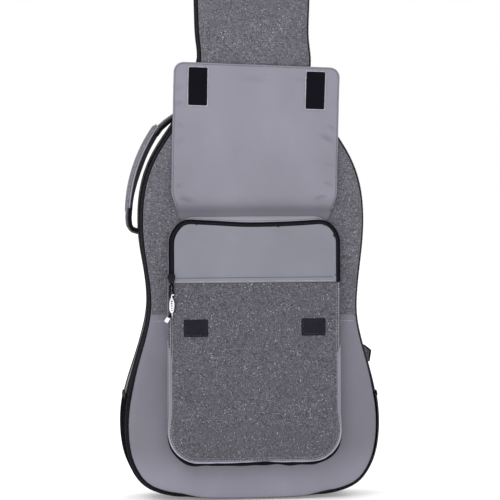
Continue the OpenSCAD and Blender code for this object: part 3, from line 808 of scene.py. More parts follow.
def lid_y(p):
    e = edge_distance(p, FACE)
    z = p[:, 1] - SEAM_Z
    y = FRONT + 3.1 - 3.2 * rolled(e, 10) - 0.5 * ripple(p, 75, 3) * smoothstep(e / 45)
    y = y - 0.32 * ripple(p, 15, 5) * hump(e - 6, 40**0.5)
    return y + 0.9 * hump(z, 2.0) + 0.5 * hump(z + 9.2, 1.5) - 0.5 * hump(z + 4.7, 3.2)


def slanted(v):
    """The seam between the covers runs a little downhill to the right."""
    v = np.array(v, float)
    v[:, 2] += (1.3 - 0.0105 * v[:, 0]) * hump(v[:, 2] - SEAM_Z, 30)
    return v


def lid_panel(loop, lift):
    """A cover of the lid, with rows of points along the folds of its seam."""
    rows = SEAM_Z + np.array([-11.4, -9.2, -7.2, -4.7, -2, 2, 4.5])
    return sheet(loop, 7.0, (0.7, 1.8, 3.4, 5.6, 8.4, 12), lambda p: lid_y(p) - lift, rows, slanted)


def lid_liner_y(p):
    e = edge_distance(p, OUT.at(6.5))
    return FRONT + 14.2 + 0.85 * rolled(e, 8) - 0.4 * ripple(p, 60, 9) * smoothstep(e / 30)


piece("lid_cover_upper", lid_panel(cut_at(FACE, SEAM_Z - 4, True), 0.0), HEATHER, "heather", "lid",
      ("lid_outer_upper",))
piece("lid_cover_lower", lid_panel(cut_at(FACE, SEAM_Z, False), 0.55), SMOOTH_LOWER, "smooth", "lid",
      ("lid_outer_lower",))
liner = sheet(OUT.at(6.5), 14.0, (1.5, 4, 8), lid_liner_y)
piece("lid_liner", liner, LINING, "lining", "lid", ("lid_lining",))
rim = ((5.7, -43.95), (5.15, -42.4), (5.0, -39.5), (5.0, -34.5), (5.5, -33.2), (6.6, -32.75))
rim = ring([(inset - DROP, y) for inset, y in rim])
piece("lid_side", rim, BLACK_BINDING, "lining", "lid", ("lid_foam",))
path, face = ring_path(6.1 - DROP, -44.65)
piece("lid_edge_piping", sweep(path, round_section(0.75, 6), face, True), HEATHER_EDGE, "heather", "lid")
for side, name in SIDES:
    line = np.column_stack([np.linspace(126, 250, 60) * side, np.full(60, SEAM_Z - 9.2)])
    line = line[inside(line, OUT.at(9))]
    path = slanted(with_depth(line, lid_y(line) - 0.75))
    piece(f"seam_stitches_{name}", stitches(path, pitch=3.6), THREAD, "smooth", "lid")


# ---------------------------------------------------------------- front pocket

POCKET_W, POCKET_LOW, POCKET_TOP, MOUTH_Z = 124.0, 58.0, 406.0, 315.5
CORNER_LOW, CORNER_TOP = 43, 34
LEAN = math.atan2(16, POCKET_TOP - POCKET_LOW)
ZIP_LINE, ZIP_Y, COIL_Y = 4.0, -1.35, -2.0


def pocket_outline(inset):
    return rounded_box(POCKET_W - inset, POCKET_LOW + inset, POCKET_TOP - inset, CORNER_LOW - inset,
                       CORNER_TOP - inset, 3.0)


def sagged(v):
    """The pocket's upper edge hangs a little in its middle, and its left corner stands a little higher."""
    v = np.array(v, float)
    x, z = v[:, 0].copy(), v[:, 2].copy()
    v[:, 0] += smoothstep((-x - 60) / 50) * smoothstep((z - 300) / 30)
    v[:, 2] += 1.5 * smoothstep((-x - 5) / 60) * smoothstep((z - 385) / 15)
    v[:, 2] -= 4.2 * np.clip(1 - (x / 104) ** 2, 0, 1) * smoothstep((z - 343) / 55)
    return v


def leaned(v):
    """The pocket leans back, so that its front stands further out at its foot."""
    s, c = math.sin(LEAN), math.cos(LEAN)
    z = v[:, 2] - POCKET_TOP
    return np.column_stack([v[:, 0], v[:, 1] * c + z * s + FRONT - 10.5, -v[:, 1] * s + z * c + POCKET_TOP])


def on_pocket(v):
    """From the upright pocket (its walls end at y = 0) to the bag."""
    return leaned(sagged(v))


def crease(p, a, b, width, depth):
    """A fold pressed along the line from a to b, fading out at both ends."""
    a, b = np.array(a, float), np.array(b, float)
    d = b - a
    t = np.clip(((p - a) @ d) / (d @ d), 0, 1)
    gap = np.linalg.norm(p - (a + t[:, None] * d), axis=1)
    return depth * hump(gap, width) * np.sin(math.pi * np.clip(t, 0.06, 0.94))


PLAIN = pocket_outline(0)
# Folds of the pocket's front: from, to, width and depth.
POCKET_FOLDS = (
    ((-106, 160), (-84, 134), 2.3, 4.2), ((-99, 166), (-78, 142), 3.4, -2.4),
    ((-110, 148), (-96, 158), 2.4, 1.2), ((-113, 150), (-110, 95), 3.0, 1.1),
    ((112, 120), (104, 84), 4.0, 1.0), ((-70, 96), (70, 90), 14, -1.0),
)


def pocket_y(p):
    e = edge_distance(p, PLAIN)
    y = -0.2 - 1.5 * rolled(e, 7) - 1.3 * smoothstep(e / 60) - 0.55 * ripple(p, 48, 21) * smoothstep(e / 25)
    y = y - 0.3 * ripple(p, 14, 22) * hump(e - 9, 60**0.5) + 0.5 * hump(e - 5.4, 1.1) * (p[:, 1] < MOUTH_Z)
    return y + sum(crease(p, *fold) for fold in POCKET_FOLDS)


def pocket_line(keep, inset, y):
    """A line along a kept stretch of the pocket's outline, such as one below a height."""
    loop = pocket_outline(inset)
    loop = loop[stretch(keep(loop[:, 1]))]
    return on_pocket(with_depth(loop, y(loop) if callable(y) else y))


def below(height):
    """Says which heights are below this one."""
    return lambda z: z < height


def above(height):
    return lambda z: z > height


def cord(path, radius, sides, full):
    """A round cord that is as full at each point as said."""
    return sweep(path, round_section(radius, sides), scale=np.column_stack([full, full]))


cloth = sheet(cut_at(pocket_outline(0.3), MOUTH_Z - 0.2, False), 3.0, (0.8, 2.0, 3.6, 5.4, 7.4, 10), pocket_y,
              (MOUTH_Z - 2, MOUTH_Z - 5), on_pocket)
pocket_cloth = piece("pocket_front_cloth", cloth, HEATHER_POCKET, "heather", "lid", ("pocket_front",))
swell = 1.1 + 0.5 * ripple(PLAIN, 40, 31)
wall = between(sagged(with_depth(PLAIN, FRONT + 0.4)), on_pocket(with_depth(PLAIN, -0.2)),
               with_depth(outward(PLAIN), 0) * swell[:, None], 9).reshape(-1, 3)
faces = grid_faces(len(PLAIN), 9, wrap_n=True).reshape(len(PLAIN), -1, 4)
low, high = PLAIN[:, 1] < 68, PLAIN[:, 1] > 236
for name, part, material, slot, cad in (
    ("pocket_wall", high, HEATHER, "heather", ("pocket_gusset",)),
    ("pocket_wall_lower", ~low & ~high, SMOOTH_LOWER, "smooth", ()),
    # the pocket's floor is made black: painted shade under the pocket's foot
    ("pocket_floor", low | np.roll(low, -1), BLACK_BINDING, "heather", ()),
):
    piece(name, drop_unused(wall, faces[part].reshape(-1, 4)), material, slot, "lid", cad)

path = pocket_line(below(124), -0.4, -0.9)
tucked = np.exp(-(((path[:, 0] - 12) / 22) ** 4)) * (path[:, 2] < 80)
path[:, 1:] += tucked[:, None] * np.array([1.5, 0.6])
full = (0.25 + 0.75 * smoothstep((124 - path[:, 2]) / 30)) * (1 + 0.12 * ripple(path, 16, 33))
piece("pocket_piping_cord", cord(path, 1.35, 8, full), PIPING, "piping", "lid", ("pocket_piping",))
# A black cord under the pocket's foot: a painted shadow beneath its bottom edge.
path = pocket_line(below(100), -2.3, 1.6)
path[:, 2] -= 0.5 * ripple(path, 30, 34)
full = (0.05 + 0.95 * smoothstep((102 - path[:, 2]) / 38)) * (1 + 0.14 * ripple(path, 22, 35))
piece("pocket_shadow_cord", cord(path, 3.5, 10, full), BLACK_BINDING, "guard", "lid")
path = pocket_line(below(MOUTH_Z - 1), 5.4, lambda p: pocket_y(p) - 0.1)
piece("pocket_edge_seam", sweep(path, round_section(0.8, 6, 0.7)), HEATHER_EDGE, "heather", "lid")
path = pocket_line(below(MOUTH_Z - 2), 2.3, lambda p: pocket_y(p) - 0.25)
piece("pocket_edge_stitches", stitches(path, pitch=3.7), THREAD, "heather", "lid")

# smooth binding along both sides of the pocket's front
BINDING_W = 4.9
# Share of its width, and how far its surface lies behind (or, below 0, in front of) the cloth there.
BINDING_LIFT = ((0.0, 0.1), (0.05, -0.5), (0.3, -0.85), (0.55, -0.6), (0.8, -0.8), (0.97, -0.4), (1.0, 0.25))
for side, name in SIDES:
    zs = np.linspace(99, 226, 64)
    wide = BINDING_W * (0.12 + 0.88 * smoothstep((zs - 98) / 34)) * smoothstep((230 - zs) / 24)
    rows = []
    for u, lift in BINDING_LIFT:
        flat = np.column_stack([side * (POCKET_W + 0.5 - u * wide), zs])
        at = np.column_stack([np.clip(flat[:, 0], -POCKET_W + 0.4, POCKET_W - 0.4), zs])
        y = pocket_y(at) + lift * (0.4 + 0.6 * wide / BINDING_W) - 0.15 * ripple(flat, 9, 36)
        rows.append(with_depth(flat, y))
    v = np.stack(rows, 1)
    thread = stitches(on_pocket(v[6:-5, 3] - np.array([0, 0.1, 0])), pitch=3.4, unit=bead(1.7, 0.8, 0.5))
    cloth = on_pocket(v.reshape(-1, 3)), grid_faces(64, 7)
    piece(f"pocket_binding_{name}", cloth, SMOOTH_EDGE, "smooth", "lid")
    piece(f"pocket_binding_stitches_{name}", thread, THREAD_DARK, "smooth", "lid")

# loop patches
PATCH_X = 85.0
for side, name in SIDES:
    loop = rounded_box(17.5, 238.5, 263.5, 1.2, 1.2, 2.0, PATCH_X * side)

    def loop_patch_y(p):
        e = edge_distance(p, loop)
        y = pocket_y(p) - 0.35 - 1.2 * rolled(e, 1.4) + 0.5 * hump(e - 2.6, 0.8)
        return y - 0.12 * ripple(p, 5, 41)

    patch = sheet(loop, 3.0, (0.6, 1.6), loop_patch_y, (), on_pocket)
    piece(f"loop_patch_{name}", patch, LOOP, "hook_loop", "lid", ("loop_patches",))
    inner = rounded_box(14.9, 241.1, 260.9, 0.5, 0.5, 1.0, PATCH_X * side)
    path = on_pocket(with_depth(inner, pocket_y(inner) - 1.15))
    piece(f"loop_patch_stitches_{name}", stitches(path, pitch=3.2, closed=True, unit=bead(2.2, 0.45, 0.4)),
          THREAD_DARK, "hook_loop", "lid")

# mouth: smooth panel, its hem, and the inner half of the zip
MOUTH_LOOP = pocket_outline(7.5)
MOUTH_LOOP[:, 0] += 1.7 * smoothstep((MOUTH_LOOP[:, 0] + 20) / 120)
MOUTH_LOOP[:, 1] += 1.1 * smoothstep((MOUTH_LOOP[:, 1] - 380) / 18)


def mouth_y(p):
    e = edge_distance(p, MOUTH_LOOP)
    y = -1.95 - 0.95 * smoothstep(e / 40) - 0.5 * ripple(p, 52, 51) * smoothstep(e / 20)
    y = y - 0.3 * ripple(p, 13, 52) * hump(e - 5, 40**0.5) - 0.8 * smoothstep((MOUTH_Z + 9 - p[:, 1]) / 1.2)
    return y + crease(p, (28, 358), (44, 346), 4.0, 0.7) - crease(p, (-60, 388), (60, 386), 7, 0.6)


cloth = sheet(cut_at(MOUTH_LOOP, MOUTH_Z + 0.3, True), 3.0, (0.7, 1.8, 3.6, 6.5), mouth_y,
              (MOUTH_Z + 2, MOUTH_Z + 8, MOUTH_Z + 10), on_pocket)
mouth = piece("mouth_cloth", cloth, SMOOTH_MOUTH, "smooth", None, ("mouth_panel",))
MOUTH_PIECES = [mouth]
for z, thread in ((MOUTH_Z + 2.2, THREAD), (MOUTH_Z + 7.4, THREAD_DARK)):
    line = np.column_stack([np.linspace(-112, 112, 90), np.full(90, z)])
    path = on_pocket(with_depth(line, mouth_y(line) - 0.2))
    MOUTH_PIECES.append(piece(f"mouth_hem_stitches_{int(z)}", stitches(path, pitch=3.3), thread, "smooth"))


def zip_strip(inner, outer, crown=0.4, count=190):
    """A strip of tape between two insets, above the pocket's mouth seam."""
    rows = []
    for k, inset in enumerate(np.linspace(outer, inner, 4)):
        loop = pocket_outline(inset)
        loop = even(resample(loop[stretch(loop[:, 1] > MOUTH_Z)], 3.0), count)
        rows.append(on_pocket(with_depth(loop, ZIP_Y - crown * (k in (1, 2)))))
    return np.stack(rows, 1).reshape(-1, 3), grid_faces(count, 4)


SMALL_COIL = bead(1.9, 0.95, 1.1)
coils = [pocket_line(above(MOUTH_Z + 1), ZIP_LINE + side * 0.9, COIL_Y) for side in (-1, 1)]
coils = [row_of(SMALL_COIL, path, pitch=1.5, across=True) for path in coils]
piece("pocket_zip_band", zip_strip(ZIP_LINE - 0.15, -0.5), TAPE, "zip_tape", "lid", ("pocket_zip_tape",))
band = piece("mouth_zip_band", zip_strip(8.6, ZIP_LINE + 0.15), TAPE, "zip_tape", None, ("mouth_zip_tape",))
piece("pocket_zip_coil", coils[0], TEETH, "zip_teeth", "lid")
MOUTH_PIECES += [band, piece("mouth_zip_coil", coils[1], TEETH, "zip_teeth")]
foot, over = on_pocket(np.array([[0, COIL_Y, MOUTH_Z], [0, COIL_Y, MOUTH_Z + 16]]))
for ob in MOUTH_PIECES:
    pin_fabric(ob, foot, over)

# seam strip between the pocket's top and the flap
FLAP_LOW = node_points("flap_seam")[:, 2].min()
xs = np.linspace(-107, 107, 70)
corner = POCKET_TOP - CORNER_TOP + np.sqrt(CORNER_TOP**2 - np.clip(np.abs(xs) - 90, 0, CORNER_TOP) ** 2)
taper = 1 - smoothstep((np.abs(xs) - 84) / 24)
near = on_pocket(np.column_stack([xs, np.full(70, -1.4), corner + 0.4]))
far = np.column_stack([xs, FRONT - 0.8 - 2.4 * taper, corner + 0.6 + 3.6 * taper])
v = between(near, far, np.column_stack([xs * 0, xs * 0, 0.8 * taper]), 7)
piece("flap_root_strip", (v.reshape(-1, 3), grid_faces(70, 7)), SMOOTH_HEM, "smooth", "lid", ("flap_seam",))
thread = stitches(v[:, 1] + np.array([0, -0.3, 0.1]), pitch=3.4, unit=bead(2.2, 1.2, 0.7))
piece("flap_root_stitches", thread, THREAD_DARK, "smooth", "lid")


# ---------------------------------------------------------------- flap

FLAP_FACE = node_points("flap_lining")[:, 1].min()
FLAP_TOP = node_points("flap_lining")[:, 2].max()
FLAP_CORNER = 13.5
flap_loop = [(-103.3, FLAP_LOW - 4.5), (108, FLAP_LOW - 4.5), (118.6, 440), (119.2, 446)]
for side, a0 in ((1, 0), (-1, 90)):
    x, z = side * 105.7, FLAP_TOP - 15
    for a in np.radians(np.arange(a0, a0 + 91, 10)):
        flap_loop.append((x + FLAP_CORNER * math.cos(a), z + FLAP_CORNER * math.sin(a)))
flap_loop = resample(flap_loop + [(-119.2, 446), (-118.2, 440)], 3.0, closed=True)


def tilted(v):
    """The flap leans a little to the right as it stands up, and its top edge slopes down to the right."""
    v = np.array(v, float)
    x, z = v[:, 0].copy(), v[:, 2].copy()
    a = smoothstep((z - FLAP_LOW - 3) / 45)
    v[:, 0] = x + (z - FLAP_LOW) * a * 0.0245
    v[:, 2] = z - x * a * (0.0245 + 0.0135 * smoothstep((z - 480) / 120))
    return v


# Where the hems pull the cloth: start, run, width and depth of each fold.
PUCKERS = (
    (-109, 438, 24, -7, 2.6, 1.3), (107, 442, -22, -6, 2.6, 1.2), (-115, 452, 15, 3, 2.4, 1.0),
    (115, 458, -16, 4, 2.4, 1.0), (-118, 478, 14, 4, 2.6, 0.7), (118, 486, -17, 3, 2.6, 0.8),
    (-118, 512, 18, 6, 3.0, 0.8), (118, 519, -26, 12, 3.4, 1.3), (-118, 541, 16, -4, 2.8, 0.8),
    (118, 538, -15, 7, 2.8, 0.9), (-118, 569, 15, 2, 2.8, 1.1), (-118, 590, 16, 4, 2.6, 0.9),
    (-22, 609, 44, -2, 4.0, 0.9), (52, 612, 26, -6, 4.0, 0.6),
)
PUCKER_WIDTH, PUCKER_DEPTH = 0.8, 3.2


def flap_wave(p):
    e = edge_distance(p, flap_loop)
    y = 1.5 * ripple(p * np.array([1.5, 1.0]), 85, 61) * smoothstep((p[:, 1] - 426) / 60)
    fine = ripple(p * np.array([0.35, 1.0]), 11, 62)
    y = y + 0.5 * fine * np.exp(-e / 9) * smoothstep((p[:, 1] - 430) / 30)
    for x, z, dx, dz, width, depth in PUCKERS:
        y = y + crease(p, (x, z), (x + dx, z + dz), width * PUCKER_WIDTH, depth * PUCKER_DEPTH)
    return y


def flap_front_y(p):
    e = edge_distance(p, flap_loop)
    z = p[:, 1] - FLAP_LOW
    rise = smoothstep((z - 5) / 17)
    hem = 0.3 * hump(e - 2.0, 0.8) + 1.2 * (1 - rolled(e, 4))
    fold = 6.6 * (1 - smoothstep((z - 24) / 70))
    return FRONT - 2.4 - (FRONT - 2.4 - FLAP_FACE + fold - hem) * rise + flap_wave(p)


def flap_back_y(p):
    e = edge_distance(p, flap_loop)
    return FRONT - 1.5 - 1.2 * (1 - rolled(e, 4)) + 0.25 * flap_wave(p)


FLAP_RINGS = (0.6, 1.4, 2.4, 3.8, 5.5)
flap_face = piece("flap_face_cloth", sheet(flap_loop, 2.6, FLAP_RINGS, flap_front_y, (), tilted), SMOOTH_FLAP,
                  "smooth", None, ("flap_lining", "flap_stiffener"))
flap_back = piece("flap_outer_cloth", sheet(flap_loop, 2.6, FLAP_RINGS, flap_back_y, (), tilted), HEATHER,
                  "heather", None, ("flap_outer",))
free = stretch(flap_loop[:, 1] > FLAP_LOW - 4)
edge, out = flap_loop[free], outward(flap_loop)[free]
near, far = with_depth(edge, flap_front_y(edge)), with_depth(edge, flap_back_y(edge))
rim = between(near, far, with_depth(out, 0) * 0.6, 7)
hem = edge[4:-4] - out[4:-4] * 1.7
hem = tilted(with_depth(hem, flap_front_y(hem) - 0.05))
FLAP_PIECES = [
    flap_face,
    flap_back,
    piece("flap_rim", (tilted(rim.reshape(-1, 3)), grid_faces(len(edge), 7)), SMOOTH_FLAP, "smooth"),
    piece("flap_hem_stitches", stitches(hem, pitch=3.2, unit=bead(2.1, 1.2, 0.7)), THREAD_DARK, "smooth"),
]
HOOK_X, HOOK_TOP, HOOK_LONG = 84.8, FLAP_TOP - 8, 53.5
for side, name in SIDES:
    loop = rounded_box(13.4, HOOK_TOP - HOOK_LONG, HOOK_TOP, 0.8, 0.8, 2.0, HOOK_X * side)

    def hook_patch_y(p):
        return flap_front_y(p) - 0.3 - 1.1 * rolled(edge_distance(p, loop), 1.2) - 0.2 * ripple(p, 4, 71)

    border = rounded_box(14.3, HOOK_TOP - HOOK_LONG - 0.9, HOOK_TOP + 0.9, 0.8, 0.8, 1.0, HOOK_X * side)
    path = tilted(with_depth(border, flap_front_y(border) - 0.7))
    thread = stitches(path, pitch=2.3, closed=True, unit=bead(2.2, 1.8, 1.0))
    patch = sheet(loop, 3.0, (0.5, 1.5), hook_patch_y, (), tilted)
    FLAP_PIECES += [
        piece(f"hook_patch_{name}", patch, HOOK, "hook_loop", None, ("hook_patches",)),
        piece(f"hook_patch_stitches_{name}", thread, THREAD, "hook_loop"),
    ]
for ob in FLAP_PIECES:
    pin_fabric(ob, (0, FRONT - 4, FLAP_LOW), (0, FRONT - 4, FLAP_LOW + 25))


# ---------------------------------------------------------------- side handle

GRIP_MID, GRIP_R = np.array([44.0, 0, 410.0]), 219.6
GRIP_FROM, GRIP_TO = 143.9, 179.4


def grip_station(angle):
    """Middle of the grip at an angle, the way out, the distance from its end and its half width."""
    a = math.radians(angle)
    out = np.array([math.cos(a), 0, math.sin(a)])
    end = min(angle - GRIP_FROM, GRIP_TO - angle)
    return GRIP_MID + out * GRIP_R, out, end, 8.6 + 6.4 * smoothstep(end / 9)


def grip_half(sign, stations=44, across=13):
    """One cloth half of the grip: the outer one (sign 1) or the one against the hand."""
    rows = []
    for a in np.linspace(GRIP_FROM, GRIP_TO, stations):
        mid, out, end, wide = grip_station(a)
        share = (a - GRIP_FROM) / (GRIP_TO - GRIP_FROM)
        full = 5.9 if sign > 0 else 8.6 - 3.4 * smoothstep((share - 0.45) / 0.5)
        thick = full * (0.35 + 0.65 * rolled(end, 1.6))
        for b in np.linspace(0, math.pi, across):
            high = sign * thick * max(0.0, math.sin(b)) ** 0.55
            rows.append(mid + out * high + np.array([0, -math.cos(b) * wide, 0]))
    return np.array(rows), grid_faces(stations, across)


def grip_line(side, lift):
    """A line along an edge of the grip, lifted out of it."""
    stations = [grip_station(a) for a in np.linspace(GRIP_FROM, GRIP_TO, 60)]
    return np.array([mid + np.array([0, side * wide, 0]) + out * lift for mid, out, _, wide in stations])


radial = np.array([grip_station(a)[1] for a in np.linspace(GRIP_FROM, GRIP_TO, 60)])
grip = piece("handle_grip_cloth", grip_half(1), HEATHER_LIGHT, "heather", "handle", ("handle_grip",))
pad = piece("handle_pad_mesh", grip_half(-1), MESH, "lining", "handle", ("handle_pad",))
for side, name in ((-1, "front"), (1, "back")):
    seam = sweep(grip_line(side, 0.0), round_section(1.15, 8), radial)
    piece(f"handle_seam_{name}", seam, SMOOTH_HEM, "piping", "handle")
    thread = stitches(grip_line(side * 0.955, 3.0), (0, side, 0.001), 3.6)
    piece(f"handle_stitches_{name}", thread, THREAD, "heather", "handle")


def anchor(name, points, node, over, under):
    """Doubled webbing from the side wall to an end of the grip: grey outside, black inside."""
    path = with_depth(resample(points, 1.5), 0)
    t = np.gradient(path, axis=0)
    up = np.column_stack([-t[:, 2], t[:, 1], t[:, 0]])
    up /= np.linalg.norm(up, axis=1)[:, None]
    up *= np.sign((up * (path - np.array([0, 0, 300]))).sum(1).mean())
    outer = sweep(path + up * (over / 2 + 0.05), box_section(26, over, 0.9), up)
    inner = sweep(path - up * (under / 2 + 0.05), box_section(25, under, 1.2), up)
    thread = [stitches(path + up * (over + 0.15) + np.array([0, y, 0]), up, 3.4) for y in (-10, 10)]
    (x0, z0), (x1, z1) = points[1], points[-2]
    for ob in (piece(f"{name}_outer", outer, WEBBING_GREY, "webbing", None, (node,)),
               piece(f"{name}_inner", inner, WEBBING, "webbing"),
               piece(f"{name}_stitches", joined(*thread), THREAD, "webbing")):
        pin_fabric(ob, (x0, 0, z0), (x1, 0, z1))


top_route = [(-98, 560), (-108, 554.5), (-121, 545.5), (-131, 536.5), (-138, 527)]
foot_route = [(-155, 386), (-164, 385.8), (-172, 388.4), (-176.4, 395.5), (-177.4, 406), (-176.4, 421)]
anchor("handle_anchor_top", top_route, "handle_anchor_upper", 3.0, 4.9)
anchor("handle_anchor_foot", foot_route, "handle_anchor_lower", 2.3, 5.2)


# ---------------------------------------------------------------- back panel

back_loop = OUT.at(BACK_INSET + 0.8)


def back_y(p):
    e = edge_distance(p, back_loop)
    y = 33.2 + (BACK - 33.0) * rolled(e, 15) + 0.5 * ripple(p, 80, 81) * smoothstep(e / 50)
    return y + 0.3 * ripple(p, 16, 82) * hump(e - 8, 60**0.5)


def back_liner_y(p):
    return 31.9 - 0.3 * ripple(p, 60, 83)


piece("back_cover", sheet(back_loop, 9.0, (0.6, 1.6, 3.2, 5.6, 8.6, 12.5), back_y), HEATHER, "heather", "bag",
      ("back_outer", "back_foam"))
piece("back_liner", sheet(OUT.at(13), 14.0, (2, 6), back_liner_y), LINING, "lining", "bag", ("back_lining",))
path, face = ring_path(BACK_INSET + 0.2, 33.2)
piece("back_piping_cord", sweep(path, round_section(1.5, 8), face, True), BLACK_BINDING, "piping", "bag",
      ("back_piping",))


def slab(loop, y0, y1, grid=5.0, radius=2.0, puff=0.0, seed=1, bulge=lambda p: 0.0):
    """A closed soft piece: an outline filled at two depths, with rolled edges and a padded middle."""
    v, f = filled(loop, grid, tuple(r for r in (0.5, 1.4, 2.8, 4.8, 7.5) if r < radius * 1.6 + 1))
    e = edge_distance(v, loop)
    mid, half = (y0 + y1) / 2, (y1 - y0) / 2
    grow = rolled(e, radius) * (half + puff * smoothstep(e / 18)) + 0.02
    wave = 0.25 * half * ripple(v, 22, seed) * smoothstep(e / 8) * (puff > 0)
    n, k = len(v), len(loop)
    faces = [tuple(q) for q in f] + [tuple(i + n for i in reversed(q)) for q in f]
    faces += [(i, (i + 1) % k, (i + 1) % k + n, i + n) for i in range(k)]
    near, far = mid - grow - wave * 0.4 + bulge(v), mid + grow + wave + bulge(v)
    return np.vstack([with_depth(v, near), with_depth(v, far)]), faces


def polygon(points, radius, step=3.0):
    """A closed outline whose corners are rounded."""
    p = np.array(points, float)
    out = []
    for a, q, b in zip(np.roll(p, 1, 0), p, np.roll(p, -1, 0)):
        to_a, to_b = np.linalg.norm(a - q), np.linalg.norm(b - q)
        s, e = q + (a - q) / to_a * min(radius, to_a * 0.45), q + (b - q) / to_b * min(radius, to_b * 0.45)
        out += [(1 - t) ** 2 * s + 2 * t * (1 - t) * q + t * t * e for t in np.linspace(0, 1, 6)]
    return resample(out, step, closed=True)


yoke = polygon([(-60, 560), (60, 560), (74, 600), (50, 645), (-50, 645), (-74, 600)], 8)
piece("yoke_cloth", slab(yoke, BACK + 1.3, BACK + 4.6, 6, 1.6, seed=84), SMOOTH_LOWER, "smooth", "bag",
      ("yoke_patch",))
path = with_depth(yoke - outward(yoke) * 4, BACK + 4.75)
piece("yoke_stitches", stitches(path, (0, 1, 0), 4.0, closed=True), THREAD, "smooth", "bag")


# ---------------------------------------------------------------- shoulder straps

STRAP_REACH = (90, 385)
STRAP_LEAN = math.atan2(*STRAP_REACH)
STRAP_X, STRAP_Z, STRAP_LONG = 50, 590, 288.0
STRAP_Y0, STRAP_Y1 = node_points("strap_left")[:, 1].min(), node_points("strap_left")[:, 1].max()
LOCK_Z = -STRAP_LONG - 34


def on_strap(side):
    """From an upright strap, whose length runs down from z = 0, to its place on the back."""
    s, c = math.sin(STRAP_LEAN), math.cos(STRAP_LEAN)

    def place(v):
        v = np.asarray(v, float)
        x, z = v[:, 0] * c - v[:, 2] * s + STRAP_X, v[:, 0] * s + v[:, 2] * c + STRAP_Z
        return np.column_stack([side * x, v[:, 1], z])

    return place


def on_pad(ob, side, stations):
    """The outer surface of a strap's pad under its webbing, smoothed along the strap."""
    co = np.empty(len(ob.data.vertices) * 3)
    ob.data.vertices.foreach_get("co", co)
    co = co.reshape(-1, 3) / MM
    x, z = side * co[:, 0] - STRAP_X, co[:, 2] - BASE / MM - STRAP_Z
    s, c = math.sin(STRAP_LEAN), math.cos(STRAP_LEAN)
    off, along = x * c + z * s, z * c - x * s
    near = np.abs(off) < 15.5
    top = np.array([co[near & (np.abs(along - w) < 7), 1].max() for w in stations])
    return np.convolve(np.pad(top, 4, "edge"), np.ones(9) / 9, "valid") + 0.75


def flattened(v):
    """The pad is thinner towards its upper end."""
    v = np.array(v, float)
    v[:, 1] = STRAP_Y0 + (v[:, 1] - STRAP_Y0) * (0.45 + 0.55 * smoothstep((2 - v[:, 2]) / 40))
    return v


def strap_tape(place, xyz, wide, thick=1.5):
    """A flat run of a strap's webbing."""
    return sweep(place(np.column_stack(xyz)), box_section(wide, thick, 0.6), (0, 1, 0))


def strap(side, name):
    """A strap's pad, binding and sewn webbing."""
    place, body = on_strap(side), f"{name}_strap"
    half = [(20, -STRAP_LONG), (26, -250), (31, -60), (31, -30), (22, 8)]
    loop = polygon([(-20, -STRAP_LONG), *half, *[(-x, z) for x, z in half[:0:-1]]], 16)
    v, f = slab(loop, STRAP_Y0 + 0.4, STRAP_Y1 - 2.6, radius=6.5, puff=1.0, seed=90 + side)
    pad = piece(f"strap_pad_{name}", (place(flattened(v)), f), HEATHER, "heather", None, (f"strap_{name}",))
    inflate(pad, 3.6, 1.4, (-400, STRAP_Y0 + 0.1, -400), (400, STRAP_Y1 - 1.4, 1400))
    rim = flattened(with_depth(loop, (STRAP_Y0 + STRAP_Y1 - 2.2) / 2))
    rim = sweep(place(rim), box_section(1.6, 4.2, 0.7), (0, 1, 0), closed=True)
    z = np.linspace(2, -STRAP_LONG + 8, 90)
    y = on_pad(pad, side, z)
    thread = [stitches(place(np.column_stack([z * 0 + x, y + 0.95, z])), (0, 1, 0)) for x in (-12.5, 12.5)]
    top = place(np.array([[0, STRAP_Y0, 6.0], [0, STRAP_Y0, -26.0]]))
    for ob in (pad, piece(f"strap_binding_{name}", rim, BLACK_BINDING, "piping"),
               piece(f"strap_webbing_{name}", strap_tape(place, (z * 0, y, z), 30), WEBBING, "webbing"),
               piece(f"strap_stitches_{name}", joined(*thread), THREAD_DARK, "webbing")):
        pin_fabric(ob, top[0], top[1])


def strap_end(side, name):
    """The lock's loop, the lock, its loose tail and the webbing that runs to the wing."""
    place, body = on_strap(side), f"{name}_strap"
    turns = ((STRAP_Y1 - 5.6, 16), (STRAP_Y1 - 4.2, -2), (STRAP_Y0 + 8.2, -8.5), (STRAP_Y0 + 4.5, -11),
             (STRAP_Y0 + 0.9, -8.5), (STRAP_Y0 + 0.4, 4), (STRAP_Y0 + 0.6, 16))
    keeper = place(resample([(0, y, z - STRAP_LONG) for y, z in turns], 1.5))
    keeper = sweep(keeper, box_section(30, 1.4, 0.6), (0, 1, 0.02))
    piece(f"lock_keeper_{name}", keeper, WEBBING, "webbing", body)
    repaint(f"lock_{name}", BUCKLE, 0.6)
    z = np.linspace(LOCK_Z - 2.5, LOCK_Z - 122, 50)
    x, y = 1.5 * np.sin((z - LOCK_Z) / 38), STRAP_Y0 + 4.8 + 1.0 * np.sin((z - LOCK_Z) / 21)
    curl = resample([(x[-1], y[-1] + 1.9, z[-1] + k) for k in (-0.6, 8, 15)], 3)
    tail = joined(strap_tape(place, (x, y, z), 28), strap_tape(place, curl.T, 28, 1.4))
    piece(f"strap_tail_{name}", tail, WEBBING, "webbing", body, (f"tail_{name}",))
    z = np.linspace(LOCK_Z + 12, -math.hypot(*STRAP_REACH) - 2, 50)
    run = strap_tape(place, (z * 0, STRAP_Y0 + 1.0 - 0.6 * smoothstep((LOCK_Z - z) / 40), z), 30)
    ob = piece(f"webbing_run_{name}", run, WEBBING, "webbing", None, (f"webbing_{name}",))
    ends = place(np.array([[0, STRAP_Y0, z[-1] + 6], [0, STRAP_Y0, LOCK_Z + 2]]))
    pin_fabric(ob, ends[0], ends[1])


